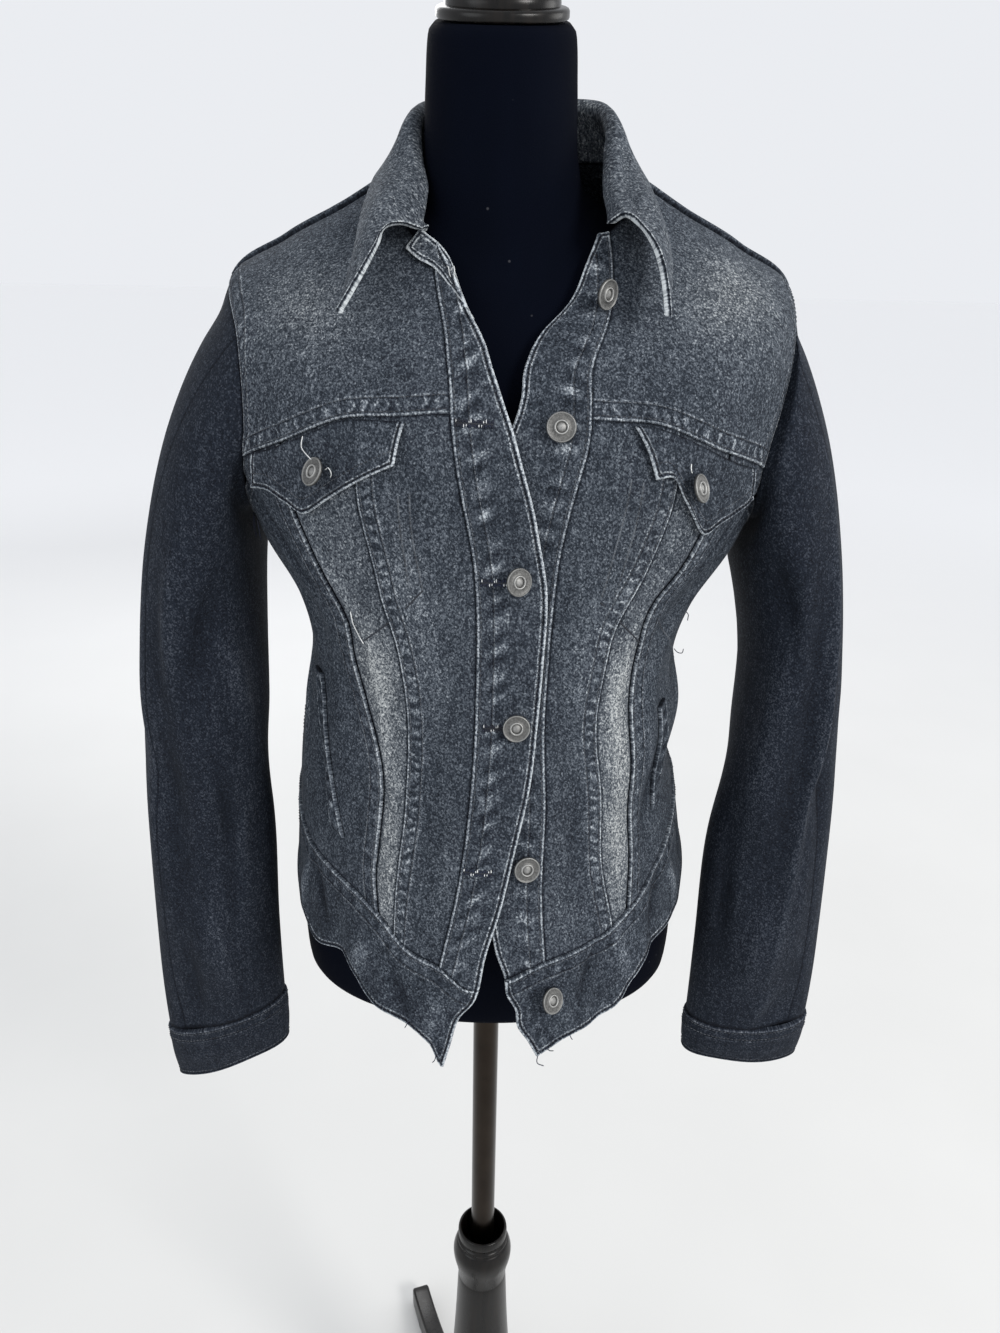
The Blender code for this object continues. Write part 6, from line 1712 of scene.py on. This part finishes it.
def stitch_mesh(lines, radius=0.0003, step=LINE_STEP):
    """Vertices and faces of short rounded stitches along lines of (points, normals)."""
    vertices, faces = [], []
    for points, normals in lines:
        length = (len(points) - 1) * step
        keys = np.arange(len(points)) * step
        at = STITCH_START
        while at + STITCH < length:
            places = at + (STITCH - STITCH_GAP) * STITCH_RINGS[:, 0]
            centre, facing = spread(places, keys, points), unit(spread(places, keys, normals))
            beside = unit(np.cross(unit(np.gradient(centre, axis=0)), facing))
            centre = centre + facing * (STITCH_RINGS[:, 1] * radius)[:, None]
            add_tube(vertices, faces, centre, beside, facing, STITCH_RINGS[:, 2] * radius, STITCH_SIDES)
            at += STITCH
    return vertices, faces


ROW_NEAR = 0.0026          # first row of stitches from a folded edge
ROW_FAR = 0.0105           # second row
EDGE_ROW = 0.003           # the row beside a free edge


def two_rows(*borders):
    return [(node, side, offset) for node, side in borders for offset in (ROW_NEAR, ROW_FAR)]


def make_stitching(name, rows):
    """Topstitching along rows of (node, side, offset)."""
    lines = [line_on(CLOTHS[node], side, offset) for node, side, offset in rows]
    make_detail("topstitching_" + name, stitch_mesh(lines), SEAM_THREAD)


def make_all_stitching():
    for side in ("r", "l"):
        placket, yoke, panel, flap, band = (f"{name}_{side}" for name in (
            "placket", "front_yoke", "front_side", "pocket_flap", "waistband_front"))
        make_stitching(f"front_{side}", two_rows(
            (placket, "near"), (f"front_centre_{side}", "far"), (yoke, "bottom"), (yoke, "far"),
            (panel, "near"), (panel, "far"), (band, "top")) + [
                (placket, "far", 0.0032), (flap, "bottom", EDGE_ROW), (flap, "near", EDGE_ROW),
                (flap, "far", EDGE_ROW), (flap, "bottom", 0.0095), (band, "bottom", EDGE_ROW),
                (band, "near", EDGE_ROW)])
    make_stitching("back", two_rows(
        ("back_yoke", "bottom"), ("back_centre", "near"), ("back_centre", "far"), ("back_side_r", "near"),
        ("back_side_l", "near"), ("waistband_back", "top")) + [("waistband_back", "bottom", EDGE_ROW)])
    make_stitching("collar", [("collar", side, 0.0034) for side in ("far", "top", "bottom")])
    for cuff in ("cuff_r", "cuff_l"):
        make_stitching(cuff, [(cuff, "top", ROW_NEAR), (cuff, "top", 0.009), (cuff, "bottom", 0.005)])


# Lines of the pocket bags sewn through the chest, as (level, turn).
BAG_ROWS = [
    [(3.97, -0.067), (4.56, -0.069), (5.18, -0.067)], [(4.03, -0.079), (4.57, -0.081), (5.16, -0.082)],
    [(3.81, 0.116), (4.55, 0.114), (5.3, 0.115)], [(3.88, 0.13), (4.63, 0.131), (5.35, 0.133)],
    [(5.69, 0.226), (6.16, 0.297), (6.87, 0.397)],
]
BAG_SLANTS = [[(5.17, -0.066), (5.55, -0.108), (6.03, -0.181)], [(5.33, 0.116), (5.66, 0.16), (6.08, 0.221)]]
BAG_THREAD = 0.00036
BAG_RIDGE = 0.0007
SLANT_RIDGE = 0.0006
# Buttonholes across the upper placket: level, then the turns of both ends.
BUTTONHOLES = [(2.88, -0.031, 0.0), (5.03, -0.007, 0.012), (6.97, -0.007, 0.02), (8.7, -0.03, 0.008)]
BAR_PITCH = 0.00065
BAR_LENGTH = 0.0021
BAR_RADIUS = 0.00038
BAR_LIFT = 0.0004
BAR_ARCH = np.array([0.0, 0.00025, 0.00025, -0.0001])[:, None]
SLIT_RADIUS = 0.0008
# Loose threads: rows of (level, turn, height above the cloth).
PALE_THREADS = [
    [(3.54, -0.188, 0.0045), (3.66, -0.187, 0.0062), (3.74, -0.176, 0.0068), (3.8, -0.168, 0.005)],
    [(3.84, -0.158, 0.0048), (3.8, -0.152, 0.0066), (3.86, -0.149, 0.0062), (3.92, -0.152, 0.0046)],
    [(3.74, 0.181, 0.0046), (3.8, 0.18, 0.0064), (3.86, 0.184, 0.0048)],
    [(5.62, -0.186, 0.0004), (5.8, -0.189, 0.0014), (5.96, -0.186, 0.0012), (6.08, -0.182, 0.0004)],
    [(0.3, -0.125, 0.003), (0.34, -0.117, 0.0052), (0.4, -0.112, 0.0044), (0.44, -0.106, 0.003)],
    [(0.36, -0.112, 0.0032), (0.3, -0.106, 0.0054), (0.37, -0.1, 0.0056), (0.47, -0.098, 0.003)],
]
DARK_THREADS = [
    [(4.9, -0.435, 0.0016), (5.02, -0.43, 0.0048), (5.16, -0.436, 0.0062)],
    [(4.92, -0.425, 0.0016), (5.06, -0.417, 0.005), (5.1, -0.404, 0.0062)],
    [(4.86, -0.375, 0.0016), (5.0, -0.372, 0.0044), (5.04, -0.362, 0.0056)],
    [(6.3, 0.43, 0.001), (6.38, 0.44, 0.004), (6.5, 0.444, 0.0052)],
    [(7.05, 0.44, 0.001), (7.16, 0.446, 0.0036), (7.24, 0.456, 0.0062), (7.2, 0.464, 0.0074)],
    [(10.86, -0.062, 0.0012), (10.93, -0.063, 0.0026), (10.97, -0.067, 0.003)],
    [(10.64, -0.104, 0.0012), (10.69, -0.106, 0.003), (10.72, -0.108, 0.0038)],
    [(10.84, 0.074, 0.0012), (10.95, 0.07, 0.0026), (11.0, 0.079, 0.004)],
    [(10.82, 0.082, 0.0012), (10.87, 0.088, 0.0026), (10.88, 0.094, 0.0036)],
    [(10.78, 0.118, 0.0012), (10.84, 0.12, 0.0028), (10.86, 0.122, 0.0036)],
]
THREAD_WIDTH = 0.00032
# The turned out stand end at the right of the neck: its rim, then its outer line.
STAND_RIM = [
    (0.41, -0.236), (0.42, -0.193), (0.4, -0.16), (0.46, -0.129), (0.59, -0.097), (0.74, -0.07),
    (0.97, -0.044),
]
STAND_SIDE = [
    (0.02, -0.24), (0.02, -0.212), (0.03, -0.174), (0.1, -0.14), (0.24, -0.112), (0.58, -0.074),
    (0.94, -0.04),
]
STAND_LIFT = 0.0032
STAND_DROP = 0.0008


def settled(node, points, normals, above):
    """Points moved along their normals to a height above a piece's cloth."""
    outer = CLOTHS[node].outer.reshape(-1, 3)
    away = np.linalg.norm(outer[None] - points[:, None], axis=-1)
    nearest = np.argsort(away, axis=1)[:, :4]
    weights = 1.0 / (np.take_along_axis(away, nearest, 1) + 0.00001)
    rises = ((outer[nearest] - points[:, None]) * normals[:, None]).sum(-1)
    rise = (rises * weights).sum(1) / weights.sum(1)
    return points + normals * (rise + above)[:, None]


def make_buttonholes():
    bars, slits, bits = [], [], []
    for level, start, end in BUTTONHOLES:
        places = [(level, turn) for turn in np.linspace(start, end, 5)]
        line, normals = path_on(places)
        line = settled("placket_r", line, normals, BAR_LIFT)
        slits.append((line, normals))
        along = unit(np.gradient(line, axis=0))
        across = unit(np.cross(along, normals))
        keys = np.arange(0.0, (len(line) - 1) * PATH_STEP, BAR_PITCH)
        for number, key in enumerate(keys):
            index = int(round(key / PATH_STEP))
            for sign in (-1.0, 1.0):
                wobble = 1.0 + 0.25 * math.sin(7.3 * number + sign)
                reach = np.linspace(0.0003, BAR_LENGTH * wobble, 4)[:, None] * sign
                bar = line[index] + across[index] * reach + normals[index] * BAR_ARCH
                group = bits if (number * 7 + int(sign)) % 13 in (5, 6) else bars
                group.append((bar, np.repeat(normals[index:index + 1], 4, 0)))
    make_detail("buttonhole_bars", tubes(bars, BAR_RADIUS), HOLE_THREAD)
    make_detail("buttonhole_slits", tubes(slits, SLIT_RADIUS, flat=0.3), SLIT_PAINTED_SHADE)
    make_detail("buttonhole_worn_bits", tubes(bits, BAR_RADIUS), PALE_THREAD)


def make_pocket_bag_lines():
    rows, ridges, slants = ([path_on(places, lift) for places in table] for table, lift in (
        (BAG_ROWS, 0.0002), (BAG_ROWS, -0.0002), (BAG_SLANTS, -0.0001)))
    make_detail("pocket_bag_ridges", tubes(ridges, BAG_RIDGE, flat=0.8), RIDGE_CLOTH)
    make_detail("pocket_bag_stitching", stitch_mesh(rows, BAG_THREAD, PATH_STEP), SEAM_THREAD)
    make_detail("pocket_bag_slants", tubes(slants, SLANT_RIDGE, flat=0.7), SLIT_PAINTED_SHADE)


def make_threads():
    for name, threads, material in (("loose_threads_pale", PALE_THREADS, PALE_THREAD),
                                    ("loose_threads_dark", DARK_THREADS, NAVY_THREAD)):
        lines = [path_on([stop[:2] for stop in thread], [stop[2] for stop in thread]) for thread in threads]
        make_detail(name, tubes(lines, THREAD_WIDTH, sides=5), material)


def make_stand_end():
    """The end of the neckline's facing, turned out over the upper placket."""
    rows = np.linspace(0.0, 1.0, 41)
    columns = np.linspace(0.0, 1.0, 9)[:, None]
    rim, side = chain(STAND_RIM, rows), chain(STAND_SIDE, rows)
    places = rim[None] + (side - rim)[None] * columns[..., None]
    surface = torso_with(FOLDS + CREASES)
    turn, level = places[..., 0], np.maximum(places[..., 1], 0.0)
    points, normals = surface(turn, level), surface_normals(surface, turn, level)
    stand = cloth_shell("stand_end_cloth", points[:, ::-1], normals[:, ::-1],
                        edge_kinds("plain free lip free"), DENIM, BODY_CLOTH,
                        lift=STAND_LIFT - STAND_DROP * columns, fade=0.35, flip=True, seed=9.1)


# ---------------------------------------------------------------- camera, floor and lights


SENSOR = 24.0              # millimetres
PICTURE_WIDTH, PICTURE_HEIGHT = 1000.0, 1333.0
CAMERA_PLACE = (0.006, -0.685 + AXIS_Y, 1.36)
CAMERA_TILT = 23.0         # degrees down
CAMERA_ROLL = 1.15
FLOOR_REACH = 30.0
LOOK_AT = (0.0, 0.0, 1.1)
# Each light's name, place, size, power and colour.
LIGHTS = [
    ("key", (2.2, -2.2, 2.7), 1.1, 82.0, (1.0, 0.98, 0.95)),
    ("fill", (-2.2, -1.8, 1.9), 1.8, 16.0, (0.95, 0.98, 1.0)),
    ("back", (-0.8, 2.8, 2.6), 1.8, 45.0, (1.0, 1.0, 1.0)),
    ("side", (2.8, 0.8, 1.8), 1.6, 20.0, (1.0, 0.99, 0.97)),
]


def make_camera():
    camera = bpy.data.objects.new("camera", bpy.data.cameras.new("camera"))
    camera.data.sensor_fit = "VERTICAL"
    camera.data.sensor_height = SENSOR
    camera.data.lens = SENSOR * PICTURE_WIDTH / PICTURE_HEIGHT
    camera.data.clip_start = 0.01
    camera.matrix_world = (Matrix.Translation(CAMERA_PLACE)
                           @ Matrix.Rotation(math.radians(90.0 - CAMERA_TILT), 4, "X")
                           @ Matrix.Rotation(math.radians(CAMERA_ROLL), 4, "Z"))
    bpy.context.scene.collection.objects.link(camera)
    bpy.context.scene.camera = camera


def make_light(name, place, size, power, color):
    light = bpy.data.lights.new(name, "AREA")
    light.shape = "DISK"
    light.size = size
    light.energy = power
    light.color = color
    item = bpy.data.objects.new(name, light)
    item.location = place
    item.rotation_euler = (Vector(LOOK_AT) - Vector(place)).to_track_quat("-Z", "Y").to_euler()
    bpy.context.scene.collection.objects.link(item)


def make_stage():
    material, graph = new_material("pale_floor")
    place = graph.object_place()
    near = graph.blend(graph.noise(place, 3.0, 3.0, 0.5), (0.56, 0.56, 0.55), (0.6, 0.6, 0.59))
    away = graph.outputs(graph.add("ShaderNodeVectorMath", operation="LENGTH"), {0: place})["Value"]
    color = graph.blend(graph.within(away, 1.0, 6.0), near, (0.985, 0.985, 0.985))
    graph.outputs(material.node_tree.nodes["Principled BSDF"], {"Base Color": color, "Roughness": 0.7})
    corners = [(FLOOR_REACH * x, FLOOR_REACH * y, 0.0) for x, y in ((-1, -1), (1, -1), (1, 1), (-1, 1))]
    mesh_object("floor", corners, [(0, 1, 2, 3)], material)
    world = bpy.data.worlds.new("studio")
    bpy.context.scene.world = world
    world.use_nodes = True
    background = world.node_tree.nodes["Background"]
    background.inputs["Color"].default_value = (0.94, 0.96, 1.0, 1.0)
    background.inputs["Strength"].default_value = 0.88
    bpy.context.scene.view_settings.view_transform = "Standard"
    for light in LIGHTS:
        make_light(*light)


# ---------------------------------------------------------------- assembly

make_camera()
make_stage()
for SIDE in ("r", "l"):
    make_front_yoke(SIDE)
    make_front_panels(SIDE)
    make_placket(SIDE)
    make_flap(SIDE)
    make_welt(SIDE)
    make_sleeve(SIDE)
    make_cuff(SIDE)
make_back_yoke()
make_back_panels()
make_waistband()
make_collar()
make_buttons()
make_all_stitching()
make_buttonholes()
make_pocket_bag_lines()
make_threads()
make_stand_end()
make_form()
make_neck_cap()
make_pole()
make_stem()
for NUMBER, ANGLE in enumerate(LEG_ANGLES, start=1):
    make_leg(NUMBER, ANGLE)
